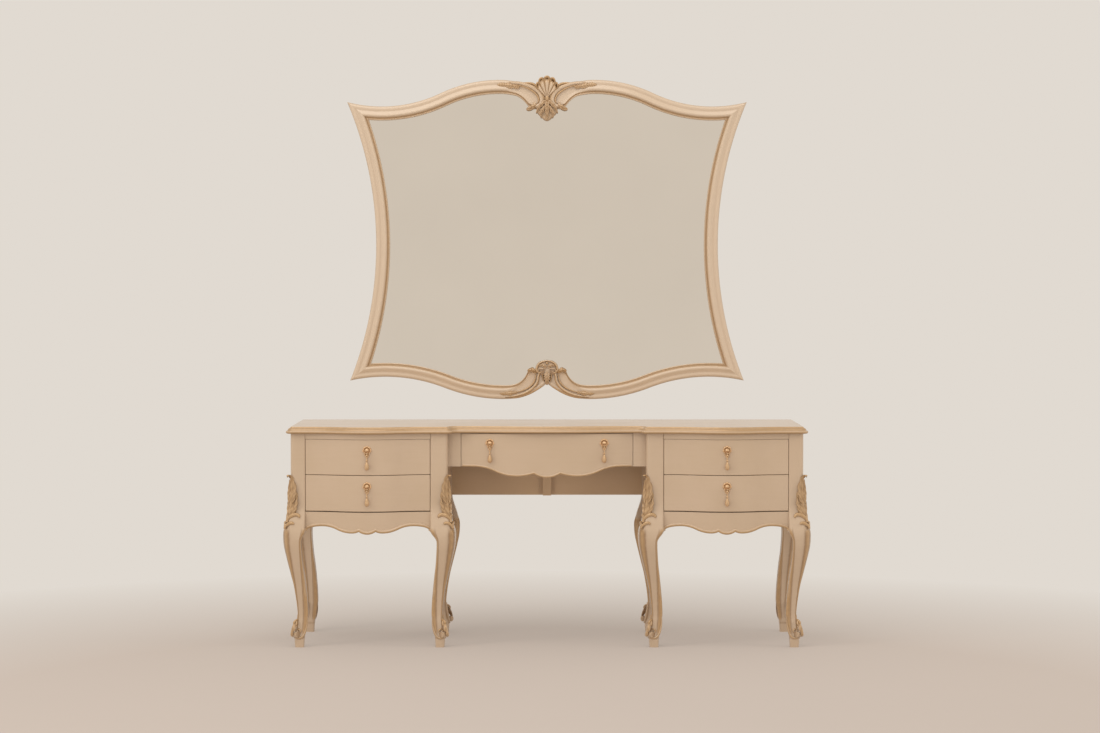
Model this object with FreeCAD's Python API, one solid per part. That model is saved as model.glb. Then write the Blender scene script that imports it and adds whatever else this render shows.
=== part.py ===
"""Dressing table on eight cabriole legs with five drawers, and its wall-hung mirror.

Millimetres, +Z up, +X to the sitter's right, +Y to the wall. The origin is on the floor, at the
middle of the whole set's box. The mirror hangs on a wall cleat, lined up with the table's back.
"""

import math
import os

import FreeCAD
import Part

V = FreeCAD.Vector

# ---- Driving dimensions -------------------------------------------------------------------
top_height = 762.0  # floor to the table top's upper face
top_thickness = 24.0
top_half_width = 897.0
overhang = 16.0  # top's nose beyond the case
case_depth = 466.0
wall_gap = 8.0  # case back to wall
bow = 42.0  # forward bow of each pedestal front
recess = 40.0  # centre section behind the pedestals' straight front
centre_bow = 26.0

pedestal_inner = 341.0  # case faces and drawer opening, as distances from the middle
pedestal_outer = 881.0
opening_inner = 401.0
opening_outer = 830.0
centre_opening = 297.0
panel = 16.0
front_thickness = 22.0

opening_top = 720.0  # drawer opening heights
opening_split = 597.0
opening_bottom = 472.0
seam = 1.5  # gap round every drawer front
side_clearance = 3.0
box_length = 400.0
box_wall = 12.0
box_bottom = 6.0
drawer_box_height = 92.0
runner_gap = 0.5  # shelf to the drawer side above it

foot_inset = 28.0  # foot centre behind the case's outer and front faces
back_foot_inset = 35.0
back_splay = 0.35  # back knees swell less towards the wall
leg_join = 440.0  # height where a leg becomes its square post

pull_reach = 18.0  # drawer face to the front of a hanging drop
pivot_stand = 11.5  # drawer face to the drop's pivot
pin_radius = 1.2
seat_depth = 2.5  # backplate let into the drawer front
eye_clearance = 0.08
drop_half_thickness = pull_reach - pivot_stand
drop_length = 58.0  # pivot to the drop's tip
pull_above_middle = 24.0  # side pulls above the middle of their fronts

frame_width = 50.0  # mirror moulding, across the face
frame_thickness = 38.0
frame_stand = 14.0  # wall to the frame's back
rabbet_width = 12.0
rabbet_depth = 14.0
glass_thickness = 4.0
backing_thickness = 8.0
cleat_thickness = 12.0
cleat_height = 1830.0  # bevel's front edge
wall_screw_radius = 2.75
wall_screw_spacing = 800.0
mirror_lift_gap = 0.5

# ---- Planes worked out from them ----------------------------------------------------------
set_depth = pull_reach + bow + case_depth + wall_gap
wall = set_depth / 2
case_front = -wall + pull_reach + bow
case_back = case_front + case_depth
drawer_middle = (opening_inner + opening_outer) / 2
centre_front = case_front + recess
case_top = top_height - top_thickness
frame_back = wall - frame_stand
frame_front = frame_back - frame_thickness

pieces = {}


# ---- Helpers ------------------------------------------------------------------------------
def box(x, y, z):
    """Box from three (low, high) pairs."""
    return Part.makeBox(x[1] - x[0], y[1] - y[0], z[1] - z[0], V(x[0], y[0], z[0]))


def rod(radius, start, end):
    """Round bar between two points."""
    return Part.makeCylinder(radius, (end - start).Length, start, end - start)


def plan(x, y):
    return V(x, y, 0)


def elevation(x, z):
    return V(x, 0, z)


def profile(y, z):
    return V(0, y, z)


def line(a, b, to):
    return [Part.LineSegment(to(*a), to(*b)).toShape()]


def arc(a, b, centre, to):
    """Short arc from a to b about a centre."""
    across = ((a[0] + b[0]) / 2 - centre[0], (a[1] + b[1]) / 2 - centre[1])
    radius = math.hypot(a[0] - centre[0], a[1] - centre[1])
    reach = radius / math.hypot(*across)
    middle = (centre[0] + across[0] * reach, centre[1] + across[1] * reach)
    return [Part.Arc(to(*a), to(*middle), to(*b)).toShape()]


def ogee(a, b, to):
    """S-curve of two equal tangent arcs, level at both ends."""
    run, rise = b[0] - a[0], b[1] - a[1]
    radius = (run**2 + rise**2) / (4 * abs(rise))
    up = math.copysign(radius, rise)
    middle = ((a[0] + b[0]) / 2, (a[1] + b[1]) / 2)
    return arc(a, middle, (a[0], a[1] + up), to) + arc(middle, b, (b[0], b[1] - up), to)


def level_arc(a, b, level_end, to):
    """Single arc from a to b that is level at level_end, which is a or b."""
    other = b if level_end == a else a
    run, rise = other[0] - level_end[0], other[1] - level_end[1]
    radius = (run**2 + rise**2) / (2 * rise)
    return arc(a, b, (level_end[0], level_end[1] + radius), to)


def quarter_ellipse(low, high, to):
    """Quarter ellipse, upright at its low end and level at its high end."""
    centre = to(high[0], low[1])
    wide, tall = to(*low) - centre, to(*high) - centre
    points = []
    for step in range(7):
        turn = math.radians(15 * step)
        points.append(centre + wide * math.cos(turn) + tall * math.sin(turn))
    curve = Part.BSplineCurve()
    curve.interpolate(points, InitialTangent=tall, FinalTangent=wide * -1)
    return [curve.toShape()]


def slab(edges, direction):
    """Closed outline pushed along a direction."""
    return Part.Face(Part.Wire(edges)).extrude(direction)


def mirrored(shape):
    return shape.mirror(V(0, 0, 0), V(1, 0, 0))


def both(name, shape):
    """The right-hand piece and its left-hand mirror image."""
    pieces["right_" + name] = shape
    pieces["left_" + name] = mirrored(shape)


def group(*shapes):
    return Part.makeCompound(list(shapes))


# ---- Front curves in plan -----------------------------------------------------------------
def serpentine(shift):
    """Pedestal front's two ogees, moved back by shift."""
    ends = (opening_inner, case_front + shift), (opening_outer, case_front + shift)
    crown = (drawer_middle, case_front - bow + shift)
    return ogee(ends[0], crown, plan) + ogee(crown, ends[1], plan)


def bowed_board(x0, x1, z0, z1):
    """Board that follows the pedestal's serpentine front, back and front alike."""
    back = case_front + front_thickness
    edges = serpentine(0) + serpentine(front_thickness)
    for x in (opening_inner, opening_outer):
        edges += line((x, case_front), (x, back), plan)
    board = slab(Part.__sortEdges__(edges), V(0, 0, z1 - z0)).translated(V(0, 0, z0))
    return board.common(box((x0, x1), (case_front - 2 * bow, back), (z0, z1)))


def bowed_shelf(x0, x1, back, z0, z1):
    """Level board that fits behind a serpentine front and ends in a straight back edge."""
    edges = serpentine(front_thickness) + line((opening_inner, back), (opening_outer, back), plan)
    for x in (opening_inner, opening_outer):
        edges += line((x, case_front + front_thickness), (x, back), plan)
    shelf = slab(Part.__sortEdges__(edges), V(0, 0, z1 - z0)).translated(V(0, 0, z0))
    return shelf.common(box((x0, x1), (case_front - 2 * bow, back), (z0, z1)))


def centre_face(x):
    """Y of the centre section's shallow bow at x."""
    radius = (centre_opening**2 + centre_bow**2) / (2 * centre_bow)
    return centre_front - centre_bow + radius - math.sqrt(radius**2 - x**2)


def centre_board(half_width, z0, z1):
    """Board with the centre section's bowed front and a flat back."""
    ends = (-half_width, centre_face(half_width)), (half_width, centre_face(half_width))
    back = centre_front + front_thickness
    crown = (0, centre_front - centre_bow)
    edges = [Part.Arc(plan(*ends[0]), plan(*crown), plan(*ends[1])).toShape()]
    edges += line(ends[1], (half_width, back), plan)
    edges += line((half_width, back), (-half_width, back), plan)
    edges += line((-half_width, back), ends[0], plan)
    return slab(edges, V(0, 0, z1 - z0)).translated(V(0, 0, z0))


# ---- Table top ----------------------------------------------------------------------------
def table_top():
    """Breakfront top: bowed over each pedestal, stepped back and gently bowed between them."""
    nose = case_front - overhang
    back = case_back + wall_gap - 2
    corner = 22.0
    step = recess / 2  # radius of both arcs of the step
    inner = pedestal_inner - overhang
    side = top_half_width
    centre = nose + recess
    crown = (drawer_middle, nose - bow)
    half = line((0, back), (side, back), plan)
    half += line((side, back), (side, nose + corner), plan)
    half += arc((side, nose + corner), (side - corner, nose), (side - corner, nose + corner), plan)
    half += line((side - corner, nose), (opening_outer, nose), plan)
    half += ogee((opening_outer, nose), crown, plan) + ogee(crown, (opening_inner, nose), plan)
    half += line((opening_inner, nose), (inner + step, nose), plan)
    half += arc((inner + step, nose), (inner, nose + step), (inner + step, nose + step), plan)
    half += arc((inner, nose + step), (inner - step, centre), (inner - step, nose + step), plan)
    half += ogee((inner - step, centre), (0, centre - centre_bow), plan)
    half += line((0, centre - centre_bow), (0, back), plan)
    right = slab(half, V(0, 0, top_thickness)).translated(V(0, 0, case_top))
    whole = right.fuse(mirrored(right)).removeSplitter()
    edge_round = 13.0

    def is_upper_front(edge):
        box_of = edge.BoundBox
        return abs(box_of.ZMin - top_height) < 0.01 and box_of.ZLength < 0.01 and box_of.YMin < back - 1

    upper = [edge for edge in whole.Edges if is_upper_front(edge)]
    return whole.makeFillet(edge_round, upper)


# ---- Legs ---------------------------------------------------------------------------------
# Height, splay from the foot centre, half width. Knee at the top, ankle low, foot block at 0.
leg_stations = [
    (0, 0, 15.5),
    (28, 0, 17.5),
    (60, -5, 17),
    (104, -11, 17),
    (148, -8, 18.5),
    (217, 1, 21.5),
    (285, 13, 25.5),
    (335, 21, 29),
    (385, 23, 31.5),
    (leg_join, 6, 26),
]


def rounded_square(x, y, z, half, radius):
    """Closed wire of four straight sides and four quarter rounds."""
    flat = half - radius
    edges = []
    for i in range(4):
        turn = math.radians(90 * i)
        c, s = math.cos(turn), math.sin(turn)

        def place(u, v):
            return V(x + c * u - s * v, y + s * u + c * v, z)

        chord = flat + radius * math.sqrt(0.5)
        edges.append(Part.LineSegment(place(half, -flat), place(half, flat)).toShape())
        edges.append(Part.Arc(place(half, flat), place(chord, chord), place(flat, half)).toShape())
    return Part.Wire(edges)


def cabriole_leg(foot_x, foot_y, out_x, out_y, post_x, post_y):
    """Leg and the square post above it, in one piece of wood, with a scroll toe and carved knee."""
    wires = []
    for z, splay, half in leg_stations:
        x, y = foot_x + out_x * splay, foot_y + out_y * splay
        wires.append(rounded_square(x, y, z, half, half * 0.55))
    leg = Part.makeLoft(wires, True, False)
    post = box(post_x, post_y, (leg_join - 30, case_top))
    corner_x = post_x[1] if out_x > 0 else post_x[0]
    corner_y = post_y[1] if out_y > 0 else post_y[0]
    upright = [
        edge
        for edge in post.Edges
        if edge.BoundBox.ZLength > 100
        and abs(edge.BoundBox.XMin - corner_x) < 0.01
        and abs(edge.BoundBox.YMin - corner_y) < 0.01
    ]
    post = post.makeFillet(20.0, upright)
    diagonal = V(out_x, math.copysign(1, out_y), 0).normalize()
    toe_centre = V(foot_x, foot_y, 46) + diagonal * 19
    across = V(-diagonal.y, diagonal.x, 0) * 13
    toe = rod(12.0, toe_centre - across, toe_centre + across)
    solid = leg.fuse([post, toe])
    if out_y < 0:
        solid = solid.fuse(carved_leaf(corner_x - out_x * 8, corner_y + 8))
    return solid.removeSplitter()


def carved_leaf(x, y):
    """Spindle that stands for the carved leaf on a front corner: pointed above, full below."""
    low, high = 425.0, 597.0
    belly = 17.0
    edges = [Part.Arc(V(0, 0, low), V(belly, 0, low + 60), V(0.5, 0, high)).toShape()]
    edges.append(Part.LineSegment(V(0.5, 0, high), V(0, 0, high)).toShape())
    edges.append(Part.LineSegment(V(0, 0, high), V(0, 0, low)).toShape())
    turned = Part.Face(Part.Wire(edges)).revolve(V(0, 0, 0), V(0, 0, 1), 360)
    return turned.translated(V(x, y, 0))


# ---- Pedestal cases -----------------------------------------------------------------------
def front_apron():
    """Shaped rail under the lower drawer, level arches each side of a small lobed centre."""
    half = (opening_outer - opening_inner) / 2
    high = opening_bottom - 2
    lower = [(half, 404.0), (153.0, 421.5), (53.0, 399.0), (28.0, 404.0), (0.0, 395.5)]
    outline = line((drawer_middle - half, high), (drawer_middle + half, high), elevation)
    for side in (-1, 1):
        end, arch, lobe, cusp, middle = [(drawer_middle + side * u, z) for u, z in lower]
        outline += line((end[0], high), end, elevation)
        outline += quarter_ellipse(end, arch, elevation) + ogee(arch, lobe, elevation)
        outline += level_arc(lobe, cusp, lobe, elevation)
        outline += level_arc(cusp, middle, middle, elevation)
    tall = Part.Face(Part.Wire(Part.__sortEdges__(outline))).extrude(V(0, 4 * bow, 0))
    tall = tall.translated(V(0, case_front - 2 * bow, 0))
    return tall.common(bowed_board(opening_inner, opening_outer, 360, high))


def side_panel(x):
    """Case side between the posts, with a shallow arch along its lower edge."""
    front, back = case_front + 50, case_back - 50
    middle = (front + back) / 2
    edges = line((front, 392), (front, case_top), profile)
    edges += line((front, case_top), (back, case_top), profile)
    edges += line((back, case_top), (back, 392), profile)
    edges += [Part.Arc(profile(back, 392), profile(middle, 424), profile(front, 392)).toShape()]
    return slab(edges, V(x[1] - x[0], 0, 0)).translated(V(x[0], 0, 0))


def runner_pair(x_rail, x_guide):
    """One side's runners for two drawers: a shelf under the drawer side and a guide beside it."""
    solids = []
    for floor in (opening_bottom + 8, opening_split + 8):
        top = floor - runner_gap
        shelf = box(x_rail, (case_front + 50, case_back - 50), (floor - 12, top))
        guide = box(x_guide, (case_front + 50, case_back - 50), (top, floor + 18))
        solids.append(shelf.fuse(guide).removeSplitter())
    return solids


def build_pedestals():
    inner_post = (pedestal_inner, opening_inner)
    outer_post = (opening_outer, pedestal_outer)
    front_posts = (case_front, case_front + 50)
    back_posts = (case_back - 50, case_back)
    front_foot = case_front + foot_inset
    back_foot = case_back - back_foot_inset
    inner_foot, outer_foot = pedestal_inner + foot_inset, pedestal_outer - foot_inset
    both("front_inner_leg", cabriole_leg(inner_foot, front_foot, -1, -1, inner_post, front_posts))
    both("front_outer_leg", cabriole_leg(outer_foot, front_foot, 1, -1, outer_post, front_posts))
    inner_back = cabriole_leg(inner_foot, back_foot, -1, back_splay, inner_post, back_posts)
    outer_back = cabriole_leg(outer_foot, back_foot, 1, back_splay, outer_post, back_posts)
    both("back_inner_leg", inner_back)
    both("back_outer_leg", outer_back)
    inner_panel = (pedestal_inner + 2, pedestal_inner + 2 + panel)
    outer_panel = (pedestal_outer - 2 - panel, pedestal_outer - 2)
    both("inner_side_panel", side_panel(inner_panel).cut(inner_back))
    both("outer_side_panel", side_panel(outer_panel).cut(outer_back))
    back_y = (case_back - 14, case_back - 4)
    back_z = (opening_bottom - 40, case_top)
    both("back_panel", box((opening_inner, opening_outer), back_y, back_z))
    floor_y = (case_front + 50, case_back - 14)
    floor = box((inner_panel[1], outer_panel[0]), floor_y, (446, 456))
    floor = floor.cut(box((inner_panel[1], opening_inner), (case_back - 50, case_back), (440, 460)))
    floor = floor.cut(box((opening_outer, outer_panel[0]), (case_back - 50, case_back), (440, 460)))
    both("bottom_panel", floor)
    rail_top = bowed_board(opening_inner, opening_outer, opening_top, case_top)
    both("front_top_rail", rail_top)
    both("front_apron", front_apron())
    inside = side_clearance + 15  # shelf reach under the drawer side
    runners = runner_pair((inner_panel[1], opening_inner + inside), (inner_panel[1], opening_inner))
    runners += runner_pair((opening_outer - inside, outer_panel[0]), (opening_outer, outer_panel[0]))
    both("drawer_runners", group(*runners))


# ---- Drawers ------------------------------------------------------------------------------
def drawer_box(half_width, front_y, middle_x, floor, length, height, bottom):
    """Two sides, a back and the bottom let in between them, as four separate boards."""
    left, right = middle_x - half_width, middle_x + half_width
    back, high = front_y + length, floor + height
    return group(
        box((left, left + box_wall), (front_y, back), (floor, high)),
        box((right - box_wall, right), (front_y, back), (floor, high)),
        box((left + box_wall, right - box_wall), (back - box_wall, back), (floor, high)),
        bottom,
    )


def pull_rosette(x, face_y, z, depth):
    """Backplate with a boss and two ears that carry the drop's pin, and its bolt through the front."""
    plate = Part.makeCylinder(15.5, 2 + seat_depth, V(x, face_y + seat_depth, z), V(0, -1, 0))
    boss = Part.makeCone(10.0, 6.0, 6.0, V(x, face_y - 2, z), V(0, -1, 0))
    crown = Part.makeSphere(6.0, V(x, face_y - 8, z + 1))
    pivot_y, pivot_z = face_y - pivot_stand, z - 9
    ears = [
        box((x + a, x + a + 2), (pivot_y - 3, face_y), (pivot_z - 3, z)) for a in (-5.0, 3.0)
    ]
    pin = rod(pin_radius, V(x - 5, pivot_y, pivot_z), V(x + 5, pivot_y, pivot_z))
    metal = plate.fuse([boss, crown, *ears, pin])
    head_y = face_y + depth + 0.1
    shank = Part.makeCylinder(2.0, head_y - face_y + 6, V(x, face_y - 6, z), V(0, 1, 0))
    bolt = shank.fuse(Part.makeCylinder(5.0, 3.0, V(x, head_y, z), V(0, 1, 0)))
    metal = metal.cut(bolt).cut(eye_space(x, pivot_y, pivot_z))
    return metal.removeSplitter(), bolt.removeSplitter()


def eye_space(x, pivot_y, pivot_z):
    """Free ring round the pin that the drop's eye turns in."""
    room = rod(6.2, V(x - 3, pivot_y, pivot_z), V(x + 3, pivot_y, pivot_z))
    return room.cut(rod(pin_radius, V(x - 3, pivot_y, pivot_z), V(x + 3, pivot_y, pivot_z)))


def pull_drop(x, face_y, z):
    """Turned teardrop that hangs from the pin by its eye."""
    pivot_y, pivot_z = face_y - pivot_stand, z - 9
    hole = pin_radius + eye_clearance
    ends = V(x - 2.4, pivot_y, pivot_z), V(x + 2.4, pivot_y, pivot_z)
    belly, length = drop_half_thickness, drop_length
    ball = Part.makeSphere(belly, V(x, pivot_y, pivot_z - length + belly))
    swell = length - belly - 8
    neck = Part.makeCone(1.8, belly * 0.94, swell, V(x, pivot_y, pivot_z - 6), V(0, 0, -1))
    stem = Part.makeCylinder(1.8, 6.0, V(x, pivot_y, pivot_z - 8))
    drop = rod(4.2, *ends).fuse([stem, neck, ball])
    return drop.cut(rod(hole, *ends)).removeSplitter()


def fit_pull(front, x, face_y, z, depth):
    """Front with the rosette's seat and bolt hole cut, the rosette's two solids, and the drop."""
    metal, bolt = pull_rosette(x, face_y, z, depth)
    hole = Part.makeCylinder(2.3, depth + 10, V(x, face_y - 5, z), V(0, 1, 0))
    seat = Part.makeCylinder(15.5, 8.0, V(x, face_y + seat_depth, z), V(0, -1, 0))
    return front.cut(seat).cut(hole), [metal, bolt], pull_drop(x, face_y, z)


def build_drawers():
    levels = {"upper": (opening_split, opening_top), "lower": (opening_bottom, opening_split)}
    half = (opening_outer - opening_inner) / 2
    for level, (low, high) in levels.items():
        z0, z1 = low + seam, high - seam
        front = bowed_board(opening_inner + seam, opening_outer - seam, z0, z1)
        face = case_front - bow
        grip = (z0 + z1) / 2 + pull_above_middle
        front, metal, drop = fit_pull(front, drawer_middle, face, grip, front_thickness)
        both(f"{level}_drawer_front", front)
        inner, outer = opening_inner + side_clearance, opening_outer - side_clearance
        floor, front_y = low + 8, case_front + front_thickness
        rear = front_y + box_length - box_wall
        levels_of_bottom = floor + 8, floor + 8 + box_bottom
        bottom = bowed_shelf(inner + box_wall, outer - box_wall, rear, *levels_of_bottom)
        sizes = half - side_clearance, front_y, drawer_middle, floor, box_length, drawer_box_height
        both(f"{level}_drawer_box", drawer_box(*sizes, bottom))
        both(f"{level}_pull_rosette", group(*metal))
        both(f"{level}_pull_drop", drop)


# ---- Centre section -----------------------------------------------------------------------
centre_low = 623.0  # level part of the centre drawer's lower edge
centre_pull_x = 197.0
centre_pull_z = 703.5
centre_box_length = 340.0


def centre_drawer_front():
    """Bowed front with a long lobed lower edge."""
    half = centre_opening - seam
    top = case_top - seam
    lower = [(half, centre_low), (252.0, centre_low), (105.0, 590.0), (45.0, 599.5), (0.0, 586.0)]
    edges = line((half, centre_low), (half, top), elevation)
    edges += line((half, top), (-half, top), elevation)
    edges += line((-half, top), (-half, centre_low), elevation)
    for side in (-1, 1):
        end, flat, lobe, cusp, middle = [(side * u, z) for u, z in lower]
        edges += line(end, flat, elevation) + ogee(flat, lobe, elevation)
        edges += level_arc(lobe, cusp, lobe, elevation) + level_arc(cusp, middle, middle, elevation)
    tall = Part.Face(Part.Wire(Part.__sortEdges__(edges))).extrude(V(0, 300, 0))
    tall = tall.translated(V(0, centre_front - 150, 0))
    return tall.common(centre_board(half, 580, top))


def build_centre():
    back_rail = box((-pedestal_inner, pedestal_inner), (case_back - 24, case_back - 6), (492, case_top))
    pieces["centre_back_rail"] = back_rail
    batten = box((-15, 15), (case_back - 24 - 32, case_back - 24), (492, case_top))
    pieces["centre_back_batten"] = batten
    stile_y = (centre_front, centre_front + front_thickness)
    stile = box((centre_opening, pedestal_inner), stile_y, (centre_low, case_top))
    pieces["centre_stiles"] = group(stile, mirrored(stile))
    floor = 634.0
    runner_y = (centre_front + front_thickness, case_back - 50)
    inside = side_clearance + 15
    top = floor - runner_gap
    shelf = box((centre_opening - inside, pedestal_inner + 2), runner_y, (centre_low, top))
    guide = box((centre_opening, pedestal_inner + 2), runner_y, (top, floor + 18))
    runner = shelf.fuse(guide).removeSplitter()
    pieces["centre_drawer_runners"] = group(runner, mirrored(runner))
    front = centre_drawer_front()
    metal, drops = [], {}
    for side, x in (("left", -centre_pull_x), ("right", centre_pull_x)):
        face = centre_face(x)
        depth = centre_front + front_thickness - face
        front, solids, drop = fit_pull(front, x, face, centre_pull_z, depth)
        metal += solids
        drops[side] = drop
    pieces["centre_drawer_front"] = front
    pieces["centre_pull_rosettes"] = group(*metal)
    for side, drop in drops.items():
        pieces[f"centre_{side}_pull_drop"] = drop
    half, front_y = centre_opening - side_clearance, centre_front + front_thickness
    inner, rear = half - box_wall, front_y + centre_box_length - box_wall
    bottom = box((-inner, inner), (front_y, rear), (floor + 8, floor + 8 + box_bottom))
    pieces["centre_drawer_box"] = drawer_box(half, front_y, 0, floor, centre_box_length, 84.0, bottom)


# ---- Mirror -------------------------------------------------------------------------------
# Arcs of the frame's outer outline, right half: centre (x, z), radius, and whether it bulges out.
crest = (170.0, 1981.0)  # highest point of the top rail
dip = (592.0, 1886.0)
foot = (153.0, 836.6)  # lowest point of the bottom rail
rise = (581.0, 917.0)
upper_tip = (716.0, 1902.0)
lower_tip = (706.0, 907.5)


def ogee_radius(a, b):
    run, climb = b[0] - a[0], b[1] - a[1]
    return (run**2 + climb**2) / (4 * abs(climb))


def circle_through(a, b, c):
    """Centre and radius of the circle through three points."""
    bx, bz, cx, cz = b[0] - a[0], b[1] - a[1], c[0] - a[0], c[1] - a[1]
    double = 2 * (bx * cz - bz * cx)
    x = (cz * (bx**2 + bz**2) - bz * (cx**2 + cz**2)) / double
    z = (bx * (cx**2 + cz**2) - cx * (bx**2 + bz**2)) / double
    return (a[0] + x, a[1] + z), math.hypot(x, z)


upper_radius = ogee_radius(crest, dip)
lower_radius = ogee_radius(foot, rise)
cusp_upper, cusp_lower = 290.0, 235.0
side_centre, side_radius = circle_through(upper_tip, (613.0, 1391.0), lower_tip)
rim = [
    ((crest[0], crest[1] - cusp_upper), cusp_upper, True),
    ((crest[0], crest[1] - upper_radius), upper_radius, True),
    ((dip[0], dip[1] + upper_radius), upper_radius, False),
    (side_centre, side_radius, False),
    ((rise[0], rise[1] - lower_radius), lower_radius, False),
    ((foot[0], foot[1] + lower_radius), lower_radius, True),
    ((foot[0], foot[1] + cusp_lower), cusp_lower, True),
]


def rim_radius(i, inset):
    centre, radius, bulges = rim[i]
    return radius - inset if bulges else radius + inset


def crossing(i, j, inset, near):
    """Meeting point of two rim arcs at an inset from the outer outline."""
    (x0, z0), (x1, z1) = rim[i][0], rim[j][0]
    r0, r1 = rim_radius(i, inset), rim_radius(j, inset)
    gap = math.hypot(x1 - x0, z1 - z0)
    along = (gap**2 + r0**2 - r1**2) / (2 * gap)
    up = math.sqrt(max(r0**2 - along**2, 0))
    ux, uz = (x1 - x0) / gap, (z1 - z0) / gap
    found = [(x0 + along * ux - s * up * uz, z0 + along * uz + s * up * ux) for s in (1, -1)]
    return min(found, key=lambda p: math.hypot(p[0] - near[0], p[1] - near[1]))


def touching(i, j, inset):
    """Point where two tangent rim arcs run into each other."""
    (x0, z0), (x1, z1) = rim[i][0], rim[j][0]
    part = rim_radius(i, inset) / math.hypot(x1 - x0, z1 - z0)
    return x0 + (x1 - x0) * part, z0 + (z1 - z0) * part


def rim_points(inset):
    """End points of the seven right-hand arcs, from the top middle to the bottom middle."""
    (x, z), upper = rim[0][0], rim_radius(0, inset)
    (x6, z6), lower = rim[6][0], rim_radius(6, inset)
    top = (0, z + math.sqrt(upper**2 - x**2))
    bottom = (0, z6 - math.sqrt(lower**2 - x6**2))
    bend_up, bend_down = touching(1, 2, inset), touching(5, 4, inset)
    corner_up = crossing(2, 3, inset, upper_tip)
    corner_down = crossing(3, 4, inset, lower_tip)
    peak, low = (crest[0], crest[1] - inset), (foot[0], foot[1] + inset)
    return [top, peak, bend_up, corner_up, corner_down, bend_down, low, bottom]


def rim_outline(inset):
    """Closed outline of the whole mirror at an inset, as a face in the XZ plane."""
    points = rim_points(inset)
    edges = []
    for i, (centre, _, _) in enumerate(rim):
        edges += arc(points[i], points[i + 1], centre, elevation)
    edges += [mirrored(edge) for edge in edges]
    return Part.Face(Part.Wire(Part.__sortEdges__(edges)))


def plate(inset, y0, y1):
    return rim_outline(inset).extrude(V(0, y1 - y0, 0)).translated(V(0, y0, 0))


def moulding_section():
    """Moulding's outline as (distance in from the outer edge, distance off the frame's back)."""
    full, lip = frame_thickness, frame_width
    sight = lip - rabbet_width
    return [
        ("line", (0, 0), (0, 22)),
        ("arc", (0, 22), (18, 30), (8, full)),
        ("arc", (18, 30), (36, 27), (27, 23.5)),
        ("arc", (36, 27), (46, 26), (41, 31)),
        ("line", (46, 26), (lip, 22)),
        ("line", (lip, 22), (lip, rabbet_depth)),
        ("line", (lip, rabbet_depth), (sight, rabbet_depth)),
        ("line", (sight, rabbet_depth), (sight, 0)),
        ("line", (sight, 0), (0, 0)),
    ]


def moulded_length(i, start, end):
    """One arc of moulding: its section turned about the arc's centre, past both ends."""
    (cx, cz), radius, bulges = rim[i]
    inward = -1 if bulges else 1

    def to(inset, height):
        return V(cx + radius + inward * inset, frame_back - height, cz)

    edges = []
    for kind, a, b, *via in moulding_section():
        if kind == "line":
            edges.append(Part.LineSegment(to(*a), to(*b)).toShape())
        else:
            edges.append(Part.Arc(to(*a), to(*via[0]), to(*b)).toShape())
    face = Part.Face(Part.Wire(edges))
    angles = [math.atan2(p[1] - cz, p[0] - cx) for p in (start, end)]
    if abs(angles[0] - angles[1]) > math.pi:
        angles[0] += math.copysign(2 * math.pi, angles[1] - angles[0])
    first, last = min(angles), max(angles)
    axis = V(0, -1, 0)
    face = face.rotated(V(cx, 0, cz), axis, math.degrees(first))
    return face.revolve(V(cx, 0, cz), axis, math.degrees(last - first))


def half_space(a, b, toward):
    """Block on one side of the line through a and b in the XZ plane, the side that toward is on."""
    reach = 2000.0
    d = V(b[0] - a[0], 0, b[1] - a[1]).normalize()
    n = V(d.z, 0, -d.x)
    if n.dot(V(toward[0] - a[0], 0, toward[1] - a[1])) < 0:
        n = n * -1
    base = V(a[0], wall, a[1])
    corners = [base - d * reach, base + d * reach]
    corners += [corners[1] + n * reach, corners[0] + n * reach]
    return Part.Face(Part.makePolygon(corners + corners[:1])).extrude(V(0, -200, 0))


def build_frame():
    """Four mitred lengths of moulding; each rail is made of its six arcs, left and right."""
    outer, sight = rim_points(0), rim_points(frame_width)
    past = 0.12  # radians that an end runs past its mitre before the mitre is cut
    lengths = []
    for i, (centre, _, _) in enumerate(rim):
        ends = [outer[i], outer[i + 1]]
        for k in (0, 1):
            if i + k in (0, 3, 4, 7):
                ends[k] = run_past(centre, outer[i], outer[i + 1], k, past)
        lengths.append(moulded_length(i, *ends))
    right_side = half_space((0, 0), (0, 1), (1, 0))
    mitres = {"top": (outer[3], sight[3]), "bottom": (outer[4], sight[4])}
    rails = {"top": lengths[:3], "bottom": lengths[4:]}
    stile = lengths[3]
    for name, arcs in rails.items():
        on_rail = (dip[0] / 2, rim_points(frame_width / 2)[1 if name == "top" else 6][1])
        half = [part.common(right_side).common(half_space(*mitres[name], on_rail)) for part in arcs]
        whole = half[0].fuse(half[1:] + [mirrored(part) for part in half])
        pieces[f"mirror_frame_{name}_rail"] = whole.removeSplitter()
        stile = stile.common(half_space(*mitres[name], (640.0, 1391.0)))
    pieces["mirror_frame_right_stile"] = stile.removeSplitter()
    pieces["mirror_frame_left_stile"] = mirrored(pieces["mirror_frame_right_stile"])


def build_mirror():
    build_frame()
    loose = 0.5  # glass and board are a little smaller than the rabbet
    inset = frame_width - rabbet_width + loose
    glass_front = frame_back - rabbet_depth
    glass_back = glass_front + glass_thickness
    pieces["mirror_glass"] = plate(inset, glass_front, glass_back)
    pieces["mirror_backing_board"] = plate(inset, glass_back, glass_back + backing_thickness)
    build_crests()
    build_cleats()


def run_past(centre, start, end, k, angle):
    """End k of an arc, carried further round its circle by an angle."""
    a0 = math.atan2(start[1] - centre[1], start[0] - centre[0])
    a1 = math.atan2(end[1] - centre[1], end[0] - centre[0])
    turn = (a1 - a0 + math.pi) % (2 * math.pi) - math.pi
    radius = math.hypot(start[0] - centre[0], start[1] - centre[1])
    at = a0 - math.copysign(angle, turn) if k == 0 else a1 + math.copysign(angle, turn)
    return centre[0] + radius * math.cos(at), centre[1] + radius * math.sin(at)


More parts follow.
